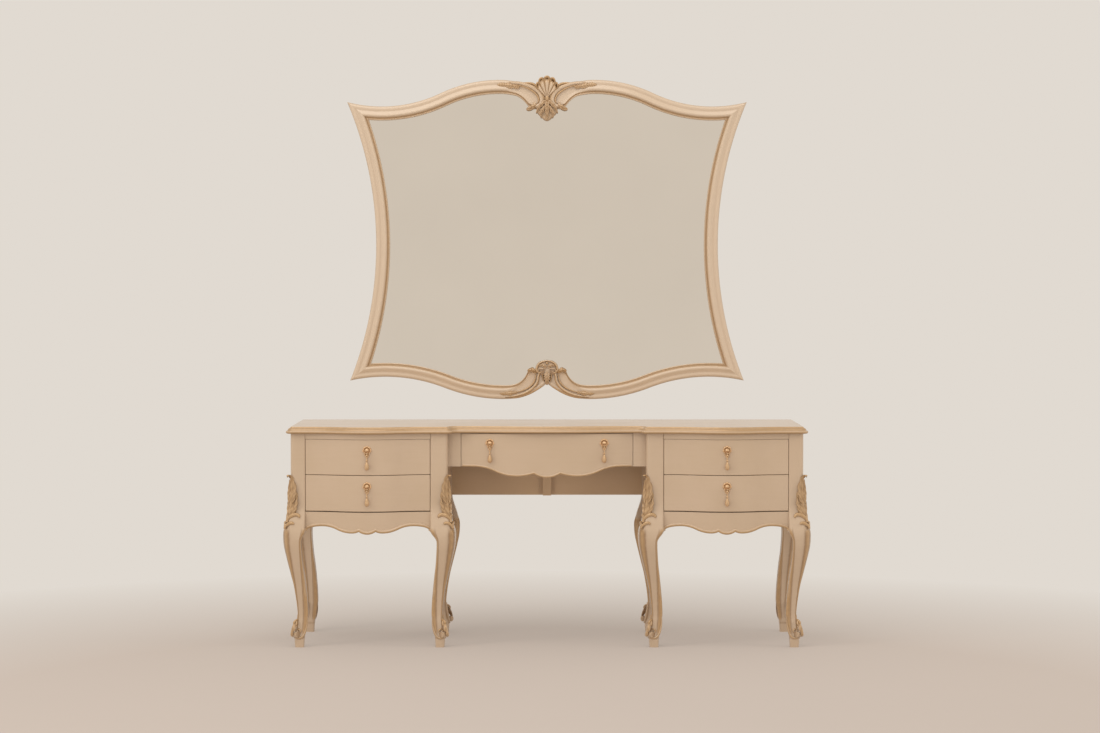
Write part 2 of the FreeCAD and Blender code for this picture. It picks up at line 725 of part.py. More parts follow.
def disc(x, z, radius, y0, y1):
    return Part.makeCylinder(radius, y1 - y0, V(x, y0, z), V(0, 1, 0))


def carving(points, front, back):
    """Board with a symmetrical curved outline: arcs through each odd point of its right half."""
    edges = []
    for i in range(0, len(points) - 2, 2):
        a, through, b = [elevation(*point) for point in points[i : i + 3]]
        edges.append(Part.Arc(a, through, b).toShape())
    edges += [mirrored(edge) for edge in edges]
    outline = Part.Wire(Part.__sortEdges__(edges))
    return Part.Face(outline).extrude(V(0, back - front, 0)).translated(V(0, front, 0))


def build_crests():
    """Carved shell over the top rail and carved boss over the bottom rail, each fitted to it."""
    front, back = frame_front - 6, frame_back - rabbet_depth - 1
    shell = [(0, 1997), (13, 1996), (20, 1988), (29, 1986), (34, 1975), (27, 1948), (11, 1923)]
    shell += [(18, 1905), (36, 1897), (56, 1892), (68, 1883), (72, 1873), (64, 1864), (54, 1863)]
    shell += [(43, 1866), (34, 1843), (0, 1835)]
    drop = [(0, 977), (23, 971), (36, 951), (50, 951), (61, 945), (64, 937), (57, 930), (45, 930)]
    drop += [(35, 925), (24, 897), (0, 884)]
    for name, points, boss_z, boss_radius in (("top", shell, 1871.0, 27.0), ("bottom", drop, 936.0, 28.0)):
        board = carving(points, front, back)
        boss = disc(0, boss_z, boss_radius, front - 8, back)
        carved = board.fuse(boss).cut(pieces[f"mirror_frame_{name}_rail"])
        pieces[f"mirror_{name}_crest"] = carved.removeSplitter()


def build_cleats():
    """Bevelled hanging cleat on the mirror, the matching one on the wall, and two bumpers."""
    half_length, tall = 655.0, 58.0
    front = wall - cleat_thickness
    z = cleat_height
    wall_section = [(front, z - tall), (front, z), (wall, z - cleat_thickness), (wall, z - tall)]
    strip_section = Part.makePolygon([profile(*p) for p in wall_section + wall_section[:1]])
    wall_strip = Part.Face(strip_section).extrude(V(1100, 0, 0)).translated(V(-550, 0, 0))
    for side in (-1, 1):
        x = side * wall_screw_spacing / 2
        wall_strip = wall_strip.cut(disc(x, z - tall + 24, wall_screw_radius, front - 1, wall + 1))
    pieces["wall_cleat"] = wall_strip
    up = z + mirror_lift_gap
    y0, y1 = frame_back, frame_back + cleat_thickness
    shift = front - y0  # the bevel's line carried to the mirror cleat's faces
    high, low = up + tall - 12, up + shift - cleat_thickness
    section = [(y0, up + shift), (y0, high), (y1, high), (y1, low)]
    mirror_section = Part.makePolygon([profile(*p) for p in section + section[:1]])
    mirror_strip = Part.Face(mirror_section).extrude(V(2 * half_length, 0, 0))
    pieces["mirror_cleat"] = mirror_strip.translated(V(-half_length, 0, 0))
    bumper = Part.makeCylinder(9.0, frame_stand, V(560, frame_back, 945.0), V(0, 1, 0))
    pieces["mirror_bumpers"] = group(bumper, mirrored(bumper))


# ---- Export -------------------------------------------------------------------------------
def main():
    pieces["table_top"] = table_top()
    build_pedestals()
    build_drawers()
    build_centre()
    build_mirror()
    os.makedirs("parts", exist_ok=True)
    for name, shape in sorted(pieces.items()):
        for solid in shape.Solids:
            if not solid.isValid() or solid.Volume <= 0:
                print("bad solid in", name, solid.Volume)
        shape.exportStep(f"parts/{name}.step")
    print(len(pieces), "pieces")


main()
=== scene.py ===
"""Classical dressing table and its wall mirror: moulded, carved and gilded surfaces.

Lengths in the shape functions are millimetres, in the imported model's frame: +X to the sitter's
right, +Y to the wall, +Z up. Every piece's mesh is turned into metres when it is made.
"""

import math

import bmesh
import bpy
import numpy as np
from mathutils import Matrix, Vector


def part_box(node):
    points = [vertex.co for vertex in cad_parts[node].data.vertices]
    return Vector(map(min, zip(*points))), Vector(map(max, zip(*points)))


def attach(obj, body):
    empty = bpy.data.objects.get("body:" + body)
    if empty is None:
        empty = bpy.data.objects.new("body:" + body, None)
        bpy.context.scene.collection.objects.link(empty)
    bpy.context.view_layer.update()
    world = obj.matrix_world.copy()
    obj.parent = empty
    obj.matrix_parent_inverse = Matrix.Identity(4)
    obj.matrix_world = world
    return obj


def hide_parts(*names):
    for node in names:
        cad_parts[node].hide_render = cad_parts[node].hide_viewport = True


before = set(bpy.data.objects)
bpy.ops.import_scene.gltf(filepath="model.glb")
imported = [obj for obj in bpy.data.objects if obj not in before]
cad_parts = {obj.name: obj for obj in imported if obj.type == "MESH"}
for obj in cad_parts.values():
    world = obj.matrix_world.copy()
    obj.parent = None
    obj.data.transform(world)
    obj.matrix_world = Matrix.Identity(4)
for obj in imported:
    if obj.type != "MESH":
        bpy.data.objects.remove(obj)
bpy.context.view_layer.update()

bl_info = {
    "name": "Dressing table and mirror",
    "version": (1, 0, 0),
    "blender": (4, 5, 0),
    "location": "3D View > Sidebar > Dressing table",
    "description": "Builds a painted and gilded dressing table with its carved wall mirror",
    "category": "Add Mesh",
}

SIDES = {"left": -1, "right": 1}
LEVELS = ("upper", "lower")


def cad(node):
    """Lowest and highest corner of a CAD node, in millimetres."""
    low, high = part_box(node)
    return np.array(low) * 1000, np.array(high) * 1000


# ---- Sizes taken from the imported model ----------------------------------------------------
TOP_LOW, TOP_HIGH = cad("table_top")
CASE_TOP, TOP_FACE = TOP_LOW[2], TOP_HIGH[2]
RAIL_LOW, RAIL_HIGH = cad("right_front_top_rail")
OPENING_INNER, OPENING_OUTER = RAIL_LOW[0], RAIL_HIGH[0]
BOARD = 22.0  # thickness of the curved front boards
POST_DEPTH = 50.0  # front to back of the square post above each leg
PANEL_INSET = 2.0  # side panel's face inside its posts' outer faces
CLEARANCE = 1.5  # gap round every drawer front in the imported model
CASE_FRONT = RAIL_HIGH[1] - BOARD
CROWN_FRONT = RAIL_LOW[1]
BOW = CASE_FRONT - CROWN_FRONT
DRAWER_MIDDLE = (OPENING_INNER + OPENING_OUTER) / 2
HALF_OPENING = (OPENING_OUTER - OPENING_INNER) / 2
STILE_LOW, STILE_HIGH = cad("centre_stiles")
CENTRE_FRONT, CENTRE_BACK = STILE_LOW[1], STILE_HIGH[1]
PEDESTAL_INNER = STILE_HIGH[0]
STEP_BACK = CENTRE_FRONT - CASE_FRONT
PANEL_HIGH = cad("right_outer_side_panel")[1]
PEDESTAL_OUTER = PANEL_HIGH[0] + PANEL_INSET
CASE_BACK = PANEL_HIGH[1] + POST_DEPTH
FRAME_BACK = cad("mirror_frame_top_rail")[1][1]
GLASS_FRONT = cad("mirror_glass")[0][1]
SEAM = 0.8  # how far a pedestal drawer's front reaches into that gap on each side


# ---- Settings -----------------------------------------------------------------------------
def colour(name, text, default):
    return bpy.props.FloatVectorProperty(
        name=name, description=text, default=default, subtype="COLOR", size=3, min=0, max=1
    )


def length(name, text, default):
    return bpy.props.FloatProperty(name=name, description=text, default=default, min=0)


class FinishSettings(bpy.types.PropertyGroup):
    """Colours of the paint, gilding, metal and wood, with a brown glazing colour that also serves as
    painted shade and a paler frame tone that serves as painted light.
    """

    paint: colour("Paint", "Cream paint on the case and frame", (0.545, 0.412, 0.288))
    # brown glazing colour: antique glazing in the hollows, also laid as painted shade in creases,
    # grooves, undersides and shadow lines
    glaze_and_shade: colour("Glaze", "Brown glaze left in hollows", (0.235, 0.125, 0.052))
    gold: colour("Gold", "Gilding on edges and carving", (0.500, 0.318, 0.155))
    metal: colour("Pull metal", "Gilt metal of the drop pulls", (0.74, 0.51, 0.30))
    lining: colour("Drawer lining", "Bare wood inside the case", (0.50, 0.34, 0.19))
    # painted light: a paler copy of the cream paint for the mirror's frame, which stands higher and
    # nearer the lights and is lit more brightly
    frame_lit_paint: colour("Frame lit paint", "Paler cream on the mirror's frame", (0.595, 0.463, 0.338))
    glass: colour("Mirror tint", "Colour of the silvered glass", (0.83, 0.775, 0.70))


class FrameSettings(bpy.types.PropertyGroup):
    """Sizes of the mirror's moulding and carving, in millimetres."""

    width: length("Moulding width", "Across the moulding's face", 50.0)
    shell: length("Shell height", "Top shell's reach above its waist", 79.0)


class LegSettings(bpy.types.PropertyGroup):
    """Sizes of the cabriole legs' carving, in millimetres."""

    edge: length("Edge bead", "Height of the bead along each leg's corners", 2.2)
    leaf: length("Leaf depth", "How far the knee's leaf stands off the wood", 6.0)


class StudioSettings(bpy.types.PropertyGroup):
    """Camera and light."""

    lens: length("Lens", "Camera focal length", 87.6)
    distance: length("Distance", "Camera to the middle of the table, in metres", 9.38)
    height: length("Height", "Camera above the floor, in metres", 1.283)
    tilt: length("Tilt", "Camera's downward tilt, in degrees", 1.96)
    key: length("Key light", "Power of the large overhead light", 160.0)


def finish_and_shading():
    return bpy.context.scene.vanity_finish


# ---- Mesh helpers -------------------------------------------------------------------------
def smooth_step(value, low, high):
    """0 below low, 1 above high, and an even S between."""
    t = np.clip((value - low) / (high - low), 0, 1)
    return t * t * (3 - 2 * t)


def bump(value, middle, width):
    """Bell of height 1 round middle."""
    return np.exp(-(((value - middle) / width) ** 2))


def smooth_path(points, count):
    """Catmull-Rom curve through the points, as count evenly spaced parameters."""
    points = np.asarray(points, float)
    last = len(points) - 1
    t = np.linspace(0, last, count)
    i = np.minimum(t.astype(int), last - 1)
    f = (t - i)[:, None]
    a, b = points[np.maximum(i - 1, 0)], points[i]
    c, d = points[i + 1], points[np.minimum(i + 2, last)]
    square, cube = 2 * a - 5 * b + 4 * c - d, 3 * b - a - 3 * c + d
    return 0.5 * (2 * b + (c - a) * f + square * f**2 + cube * f**3)


def unit(vectors):
    return vectors / np.maximum(np.linalg.norm(vectors, axis=-1, keepdims=True), 1e-9)


OUTWARD = unit(np.array([1.0, -1.0, 0.0]))  # along a leg's outward corner
FACING = (0.0, -1.0, 0.0)  # towards the sitter


def grid(points, gild_and_highlight=0.0, glaze_and_shade=0.0, around=False, ends=False):
    """Surface over a (rows, columns, 3) grid of points: (points, faces, finish per point).

    around joins the last column to the first. ends closes the first and last rows.
    """
    rows, columns = points.shape[:2]
    index = np.arange(rows * columns).reshape(rows, columns)
    beside = np.roll(index, -1, axis=1) if around else index[:, 1:]
    here = index if around else index[:, :-1]
    quads = np.stack([here[:-1], beside[:-1], beside[1:], here[1:]], axis=-1).reshape(-1, 4)
    faces = quads.tolist()
    if ends:
        faces += [index[0, ::-1].tolist(), index[-1].tolist()]
    marks = np.zeros((rows, columns, 2))
    marks[..., 0] = gild_and_highlight
    marks[..., 1] = glaze_and_shade
    return points.reshape(-1, 3), faces, marks.reshape(-1, 2)


def join(surfaces):
    """Several surfaces as one."""
    points, faces, marks, start = [], [], [], 0
    for p, f, m in surfaces:
        points.append(p)
        marks.append(m)
        faces += [[i + start for i in face] for face in f]
        start += len(p)
    return np.concatenate(points), faces, np.concatenate(marks)


def mirrored(surface):
    """The same surface on the other side of the middle plane."""
    points, faces, marks = surface
    return points * (-1, 1, 1), [face[::-1] for face in faces], marks


def sided(surface, side):
    return surface if side > 0 else mirrored(surface)


def piece(name, surfaces, body, material, slot, replaced=(), crease=38.0, eased=0.0, pale=0.0):
    """Mesh object from surfaces, in metres, riding on a CAD body in place of CAD nodes.

    Its colour-mark attribute holds gilding in red, held back in places to leave a cream painted
    highlight; brown glazing that doubles as painted shade in green; and the paler frame tone, painted
    light, in blue.
    """
    points, faces, marks = join(surfaces)
    mesh = bpy.data.meshes.new(name)
    mesh.from_pydata((points / 1000).tolist(), [], faces)
    values = np.zeros((len(points), 4), np.float32)
    values[:, :2] = np.clip(marks, 0, 1)
    values[:, 2:] = pale, 1
    layer = mesh.attributes.new("finish_and_shading", "FLOAT_COLOR", "POINT")
    layer.data.foreach_set("color", values.ravel())
    work = bmesh.new()
    work.from_mesh(mesh)
    bmesh.ops.remove_doubles(work, verts=work.verts, dist=1e-6)
    bmesh.ops.recalc_face_normals(work, faces=work.faces)
    work.to_mesh(mesh)
    work.free()
    mesh.shade_smooth()
    mesh.set_sharp_from_angle(angle=math.radians(crease))
    made = bpy.data.objects.new(name, mesh)
    bpy.context.scene.collection.objects.link(made)
    mesh.materials.append(material)
    if eased:
        bevel = made.modifiers.new("Eased edges", "BEVEL")
        bevel.width, bevel.segments, bevel.limit_method = eased / 1000, 3, "ANGLE"
        bevel.angle_limit = math.radians(50)
        bevel.harden_normals = True
    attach(made, body)
    if replaced:
        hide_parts(*replaced)
    return made


def painted(name, surfaces, body, replaced, **edges):
    """Painted and gilded piece."""
    return piece(name, surfaces, body, paint(), "painted_wood", replaced, **edges)


def cast(name, surfaces, body, replaced):
    """Gilt metal piece."""
    return piece(name, surfaces, body, metal(), "pull_metal", replaced)


def strip(path, facing, widths, heights, gild_and_highlight=1.0, around=14):
    """Half-round bead along a path: an ellipse at each point, widths across and heights out.

    The ellipse stands square to the path, with its height along facing. gild is one value, or
    the values at the ellipse's two sides.
    """
    path, facing = np.asarray(path, float), np.broadcast_to(facing, np.shape(path))
    tangent = unit(np.gradient(path, axis=0))
    across = unit(np.cross(tangent, facing))
    out = unit(np.cross(across, tangent))
    turn = np.linspace(0, 2 * np.pi, around, endpoint=False)
    w = np.broadcast_to(widths, len(path))[:, None, None]
    h = np.broadcast_to(heights, len(path))[:, None, None]
    c, s = np.cos(turn)[None, :, None], np.sin(turn)[None, :, None]
    points = path[:, None] + across[:, None] * c * w + out[:, None] * s * h
    if isinstance(gild_and_highlight, tuple):
        gild_and_highlight = gild_and_highlight[0] + (gild_and_highlight[1] - gild_and_highlight[0]) * smooth_step(c[..., 0], -0.55, 0.35)
    # back and sides of each bead darkened where it meets its ground: glazing that doubles as painted
    # shade in that crease
    glaze_and_shade = np.broadcast_to(np.clip(0.42 - s[..., 0], 0, 1) * 0.9, points.shape[:2])
    return grid(points, gild_and_highlight, glaze_and_shade, around=True, ends=True)


def taper(count, start=0.15, end=0.15, middle=1.0):
    """Widths that swell from start to middle and shrink to end."""
    return smooth_path([[start], [middle], [middle], [end]], count)[:, 0]


def leaf(spine, facing, width, height, lobes=5, wrap=0.0, count=64, gild_and_highlight=1.0, point=0.12):
    """Carved leaf along a spine.

    Its half width swells and shrinks along the spine and is scalloped into lobes. Across, it is
    a shallow dome with a hollow beside a raised midrib, and slanting furrows between the lobes.
    wrap bends it backwards round the spine, in radians at its edges.
    """
    spine = smooth_path(spine, count)
    facing = np.broadcast_to(np.asarray(facing, float), spine.shape)
    tangent = unit(np.gradient(spine, axis=0))
    across = unit(np.cross(tangent, facing))
    out = unit(np.cross(across, tangent))
    s = np.linspace(0, 1, count)[:, None]
    turn = np.linspace(0, 2 * np.pi, 36, endpoint=False)[None, :]
    t, top = np.cos(turn), np.sin(turn)
    swell = (np.sin(np.pi * np.clip(s, 0, 1) ** 0.75) * (1 - point) + point) ** 0.8
    phase = lobes * (s - 0.22 * np.abs(t))
    lobe = np.abs(np.cos(np.pi * phase))
    half = width * swell * (0.72 + 0.28 * np.abs(np.cos(np.pi * lobes * (s - 0.22))))
    ribs = 0.55 + 0.45 * lobe
    dome = np.sqrt(np.clip(1 - t**2, 0, 1))
    midrib = bump(t, 0, 0.16)
    raised = height * swell * (0.55 * dome * ribs + 0.5 * midrib + 0.25 * np.abs(t) ** 3 * dome)
    lift = np.where(top > 0, raised, -0.35 * height * swell * dome)
    angle = wrap * t
    reach = half * (np.sin(angle) / wrap if wrap else t)
    drop = half * ((np.cos(angle) - 1) / wrap if wrap else 0 * t)
    points = spine[:, None] + across[:, None] * reach[..., None]
    points = points + out[:, None] * (lift + drop)[..., None]
    # darker in the furrows between lobes and on the underside: glazing that doubles as painted shade
    glaze_and_shade = np.clip(1.0 - lobe, 0, 1) * 0.8 * (1 - midrib) + 0.4 * (top < 0.25)
    return grid(points, gild_and_highlight, glaze_and_shade, around=True, ends=True)


# ---- Materials ----------------------------------------------------------------------------
def new_material(name):
    material = bpy.data.materials.new(name)
    material.use_nodes = True
    tree = material.node_tree
    tree.nodes.clear()
    output = tree.nodes.new("ShaderNodeOutputMaterial")
    shader = tree.nodes.new("ShaderNodeBsdfPrincipled")
    tree.links.new(shader.outputs[0], output.inputs[0])
    return material, tree, shader


def node(tree, kind, **values):
    made = tree.nodes.new(kind)
    for key, value in values.items():
        setattr(made, key, value)
    return made


def noise(tree, scale, detail=4.0, stretch=(1, 1, 1), roughness=0.55):
    """Noise on Object coordinates, stretched along the axes."""
    place = node(tree, "ShaderNodeTexCoord")
    mapping = node(tree, "ShaderNodeMapping")
    mapping.inputs["Scale"].default_value = stretch
    texture = node(tree, "ShaderNodeTexNoise")
    texture.inputs["Scale"].default_value = scale
    texture.inputs["Detail"].default_value = detail
    texture.inputs["Roughness"].default_value = roughness
    tree.links.new(place.outputs["Object"], mapping.inputs["Vector"])
    tree.links.new(mapping.outputs[0], texture.inputs["Vector"])
    return texture.outputs["Fac"]


def band(tree, value, low, high, to_low=0.0, to_high=1.0):
    """value from low..high carried to to_low..to_high, and clamped."""
    made = node(tree, "ShaderNodeMapRange")
    limits = {"From Min": low, "From Max": high, "To Min": to_low, "To Max": to_high}
    for key, number in limits.items():
        made.inputs[key].default_value = number
    tree.links.new(value, made.inputs["Value"])
    return made.outputs[0]


def mix(tree, factor, first, second):
    """Colour mix; first and second are colours or sockets."""
    made = node(tree, "ShaderNodeMix", data_type="RGBA")
    for key, value in ((0, factor), (6, first), (7, second)):
        if isinstance(value, bpy.types.NodeSocket):
            tree.links.new(value, made.inputs[key])
        else:
            made.inputs[key].default_value = (*value, 1) if key else value
    return made.outputs[2]


def arithmetic(tree, operation, *values):
    made = node(tree, "ShaderNodeMath", operation=operation, use_clamp=True)
    for key, value in enumerate(values):
        if isinstance(value, bpy.types.NodeSocket):
            tree.links.new(value, made.inputs[key])
        else:
            made.inputs[key].default_value = value
    return made.outputs[0]


def relief(tree, shader, height, strength, distance):
    made = node(tree, "ShaderNodeBump")
    made.inputs["Strength"].default_value = strength
    made.inputs["Distance"].default_value = distance
    tree.links.new(height, made.inputs["Height"])
    tree.links.new(made.outputs[0], shader.inputs["Normal"])


def painted_wood(name="Cream paint and gilding", tone=(1.0, 1.0, 1.0)):
    """Brushed cream paint with brown glazing in hollows that doubles as painted shade, a paler frame
    tone as painted light, and rubbed gilding where pieces mark it.
    """
    material, tree, shader = new_material(name)
    marks = node(tree, "ShaderNodeVertexColor", layer_name="finish_and_shading")
    split = node(tree, "ShaderNodeSeparateColor")
    tree.links.new(marks.outputs["Color"], split.inputs[0])
    gild_and_highlight, glaze_and_shade = split.outputs[0], split.outputs[1]
    cloud = band(tree, noise(tree, 5.0, 5.0), 0.3, 0.7)
    brush = noise(tree, 34.0, 6.0, (0.25, 1, 3.5))
    rub = noise(tree, 90.0, 5.0)
    paint = np.array(finish_and_shading().paint) * tone
    toned = mix(tree, cloud, tuple(paint * (1.02, 1.015, 1.03)), tuple(paint * (0.965, 0.95, 0.925)))
    streak = band(tree, brush, 0.42, 0.72, 0.0, 0.10)
    toned = mix(tree, streak, toned, tuple(paint * (0.86, 0.83, 0.78)))
    # blue mark swaps in the paler paint on the mirror's frame: painted light for the frame's brighter
    # lighting
    toned = mix(tree, split.outputs[2], toned, tuple(finish_and_shading().frame_lit_paint))
    # green mark browns the paint: antique glazing in hollows that doubles as painted shade
    hollow = arithmetic(tree, "MULTIPLY", glaze_and_shade, band(tree, rub, 0.25, 0.7, 0.55, 0.95))
    toned = mix(tree, hollow, toned, tuple(finish_and_shading().glaze_and_shade))
    gold = np.array(finish_and_shading().gold)
    leafing = mix(tree, band(tree, rub, 0.35, 0.68), tuple(gold * 0.95), tuple(gold * 1.1))
    # the gilding is browned by the same green mark: glazing and painted shade in its hollows
    leafing = mix(tree, arithmetic(tree, "MULTIPLY", glaze_and_shade, 0.8), leafing, tuple(finish_and_shading().glaze_and_shade))
    worn = arithmetic(tree, "MULTIPLY", gild_and_highlight, band(tree, rub, 0.22, 0.42, 0.9, 1.0))
    tree.links.new(mix(tree, worn, toned, leafing), shader.inputs["Base Color"])
    tree.links.new(arithmetic(tree, "MULTIPLY", worn, 0.28), shader.inputs["Metallic"])
    base = band(tree, brush, 0.3, 0.75, 0.40, 0.52)
    smoother = arithmetic(tree, "MULTIPLY", worn, 0.06)
    tree.links.new(arithmetic(tree, "SUBTRACT", base, smoother), shader.inputs["Roughness"])
    shader.inputs["Coat Weight"].default_value = 0.75
    shader.inputs["Coat Roughness"].default_value = 0.2
    relief(tree, shader, brush, 0.16, 0.0004)
    return material


def pull_metal():
    """Cast gilt metal, bright on its high points and slightly pitted, browned where pieces mark it:
    patina in its hollows, and painted shade on one side of each rosette.
    """
    material, tree, shader = new_material("Gilt metal")
    marks = node(tree, "ShaderNodeVertexColor", layer_name="finish_and_shading")
    split = node(tree, "ShaderNodeSeparateColor")
    tree.links.new(marks.outputs["Color"], split.inputs[0])
    metal = np.array(finish_and_shading().metal)
    pits = noise(tree, 420.0, 4.0)
    tone = mix(tree, band(tree, pits, 0.35, 0.7), tuple(metal), tuple(np.minimum(metal * 1.25, 1)))
    # green mark browns the metal: patina in hollows, and on the rosettes painted shade on one side
    tone = mix(tree, arithmetic(tree, "MULTIPLY", split.outputs[1], 0.85), tone, (0.25, 0.14, 0.06))
    tree.links.new(tone, shader.inputs["Base Color"])
    shader.inputs["Metallic"].default_value = 0.6
    tree.links.new(band(tree, pits, 0.3, 0.7, 0.28, 0.42), shader.inputs["Roughness"])
    relief(tree, shader, pits, 0.25, 0.0003)
    return material


def bare_wood(name, tone, grain=(1.5, 14, 60)):
    """Straight-grained wood: fine long streaks between two tones, with a matt waxed surface."""
    material, tree, shader = new_material(name)
    tone = np.array(tone)
    streaks = noise(tree, 3.2, 9.0, grain, 0.68)
    broad = noise(tree, 1.4, 3.0, tuple(np.array(grain) * 0.35))
    dark, pale = tuple(tone * 0.74), tuple(np.minimum(tone * 1.12, 1))
    colours = mix(tree, band(tree, streaks, 0.34, 0.68), dark, pale)
    colours = mix(tree, band(tree, broad, 0.4, 0.65, 0, 0.35), colours, tuple(tone * 0.85))
    tree.links.new(colours, shader.inputs["Base Color"])
    tree.links.new(band(tree, streaks, 0.3, 0.7, 0.62, 0.5), shader.inputs["Roughness"])
    relief(tree, shader, streaks, 0.2, 0.0003)
    return material


def silvered_glass():
    """Mirror glass: clean, with the faintest unevenness in its polish."""
    material, tree, shader = new_material("Silvered glass")
    tone = np.array(finish_and_shading().glass)
    haze = noise(tree, 2.2, 3.0)
    colours = mix(tree, band(tree, haze, 0.35, 0.7), tuple(tone), tuple(tone * 0.97))
    tree.links.new(colours, shader.inputs["Base Color"])
    shader.inputs["Metallic"].default_value = 1.0
    tree.links.new(band(tree, haze, 0.3, 0.7, 0.02, 0.035), shader.inputs["Roughness"])
    return material


def soft_bumper():
    material, tree, shader = new_material("Bumper rubber")
    grain = noise(tree, 500.0, 3.0)
    colours = mix(tree, grain, (0.05, 0.045, 0.04), (0.09, 0.08, 0.07))
    tree.links.new(colours, shader.inputs["Base Color"])
    shader.inputs["Roughness"].default_value = 0.8
    relief(tree, shader, grain, 0.2, 0.0002)
    return material


def stock(name, make):
    """A material made once and shared."""
    return bpy.data.materials.get(name) or make()


def paint():
    return stock("Cream paint and gilding", painted_wood)


def metal():
    return stock("Gilt metal", pull_metal)


# ---- Curves of the case -------------------------------------------------------------------
def ogee(x, start, end, rise):
    """S-curve of two equal arcs from 0 at start to rise at end, level at both ends."""
    run = end - start
    radius = (run**2 + rise**2) / (4 * abs(rise))
    t = np.clip((x - start) / run, 0, 1) * abs(run)
    half = abs(run) / 2
    first = radius - np.sqrt(np.maximum(radius**2 - np.minimum(t, half) ** 2, 0))
    second = radius - np.sqrt(np.maximum(radius**2 - np.minimum(abs(run) - t, half) ** 2, 0))
    return np.sign(rise) * np.where(t <= half, first, abs(rise) - second)


def pedestal_face(x):
    """Y of a pedestal's serpentine front at |x|: two ogees that meet at its crown."""
    u = np.abs(np.abs(x) - DRAWER_MIDDLE)
    return CROWN_FRONT + ogee(u, 0.0, HALF_OPENING, BOW)


CENTRE_BOW = CENTRE_FRONT - cad("centre_drawer_front")[0][1]
CENTRE_HALF = cad("centre_drawer_front")[1][0] + CLEARANCE


def centre_face(x):
    """Y of the centre section's shallow arc."""
    radius = (CENTRE_HALF**2 + CENTRE_BOW**2) / (2 * CENTRE_BOW)
    return CENTRE_FRONT - CENTRE_BOW + radius - np.sqrt(radius**2 - np.asarray(x, float) ** 2)


def arc_level_at(u, level, other, z_level, z_other):
    """Height on the arc that is level at one end and reaches z_other at the other."""
    run, rise = other - level, z_other - z_level
    radius = (run**2 + rise**2) / (2 * rise)
    return z_level + radius - np.sign(rise) * np.sqrt(radius**2 - (u - level) ** 2)


def apron_edge(u):
    """Height of a pedestal apron's lower edge at a distance from its middle."""
    u = np.abs(u)
    lobe_low, lobe_high, cusp, arch = 395.5, 399.0, 405.5, 421.5
    low = arc_level_at(u, 0.0, 28.0, lobe_low, cusp)
    side = arc_level_at(u, 53.0, 28.0, lobe_high, cusp)
    sweep = lobe_high + ogee(u, 53.0, 153.0, arch - lobe_high)
    t = np.clip((u - 153) / (HALF_OPENING - 153), 0, 1)
    end = 404 + (arch - 404) * np.sqrt(1 - t**2)
    return np.select([u <= 28, u <= 53, u <= 153], [low, side, sweep], end)


def centre_edge(u):
    """Height of the centre drawer's lower edge at a distance from its middle."""
    u = np.abs(u)
    low = arc_level_at(u, 0.0, 45.0, 586.0, 599.5)
    side = arc_level_at(u, 105.0, 45.0, 590.0, 599.5)
    sweep = 590.0 + ogee(u, 105.0, 252.0, 33.0)
    return np.select([u <= 45, u <= 105, u <= 252], [low, side, sweep], 623.0)


def curved_board(x, low, high, front, back):
    """Board across x: at each x a closed upright section from low to high, front to back."""
    rise = np.linspace(0, 1, 5)
    fill = np.linspace(0, 1, 3)[1:-1]
    section = [(0, r) for r in rise] + [(f, 1) for f in fill]
    section += [(1, r) for r in rise[::-1]] + [(f, 0) for f in fill[::-1]]
    depth, height = np.array(section).T
    given = (x, low, high, front, back)
    x, low, high, front, back = (np.broadcast_to(v, np.shape(x)).astype(float) for v in given)
    points = np.empty((len(x), len(section), 3))
    points[..., 0] = x[:, None]
    points[..., 1] = front[:, None] + (back - front)[:, None] * depth
    points[..., 2] = low[:, None] + (high - low)[:, None] * height
    return grid(points, 0, 0, around=True, ends=True)


# ---- Table top ----------------------------------------------------------------------------
def top_outline():
    """Right half of the top's outline in plan, from its back corner to the middle of its front."""
    overhang = 16.0
    nose, side, back = CASE_FRONT - overhang, TOP_HIGH[0], TOP_HIGH[1]
    corner, step = 22.0, 20.0
    inner = PEDESTAL_INNER - overhang
    turn = np.linspace(0, np.pi / 2, 15)
    cosine, sine = np.cos(turn), np.sin(turn)
    runs = [[(side, y) for y in np.linspace(back, nose + corner + 4, 12)]]
    runs.append(np.stack([side - corner + corner * cosine, nose + corner - corner * sine], 1))
    x = np.linspace(side - corner - 6, inner + step + 4, 90)
    runs.append(np.stack([x, pedestal_face(np.clip(x, OPENING_INNER, OPENING_OUTER)) - overhang], 1))
    runs.append(np.stack([inner + step - step * sine, nose + step - step * cosine], 1))
    runs.append(np.stack([inner - step + step * cosine, nose + step + step * sine], 1)[1:])
    x = np.linspace(inner - step - 6, 0, 60)
    centre = nose + STEP_BACK
    runs.append(np.stack([x, centre + ogee(x, inner - step, 0.0, -CENTRE_BOW)], 1))
    return np.concatenate(runs)


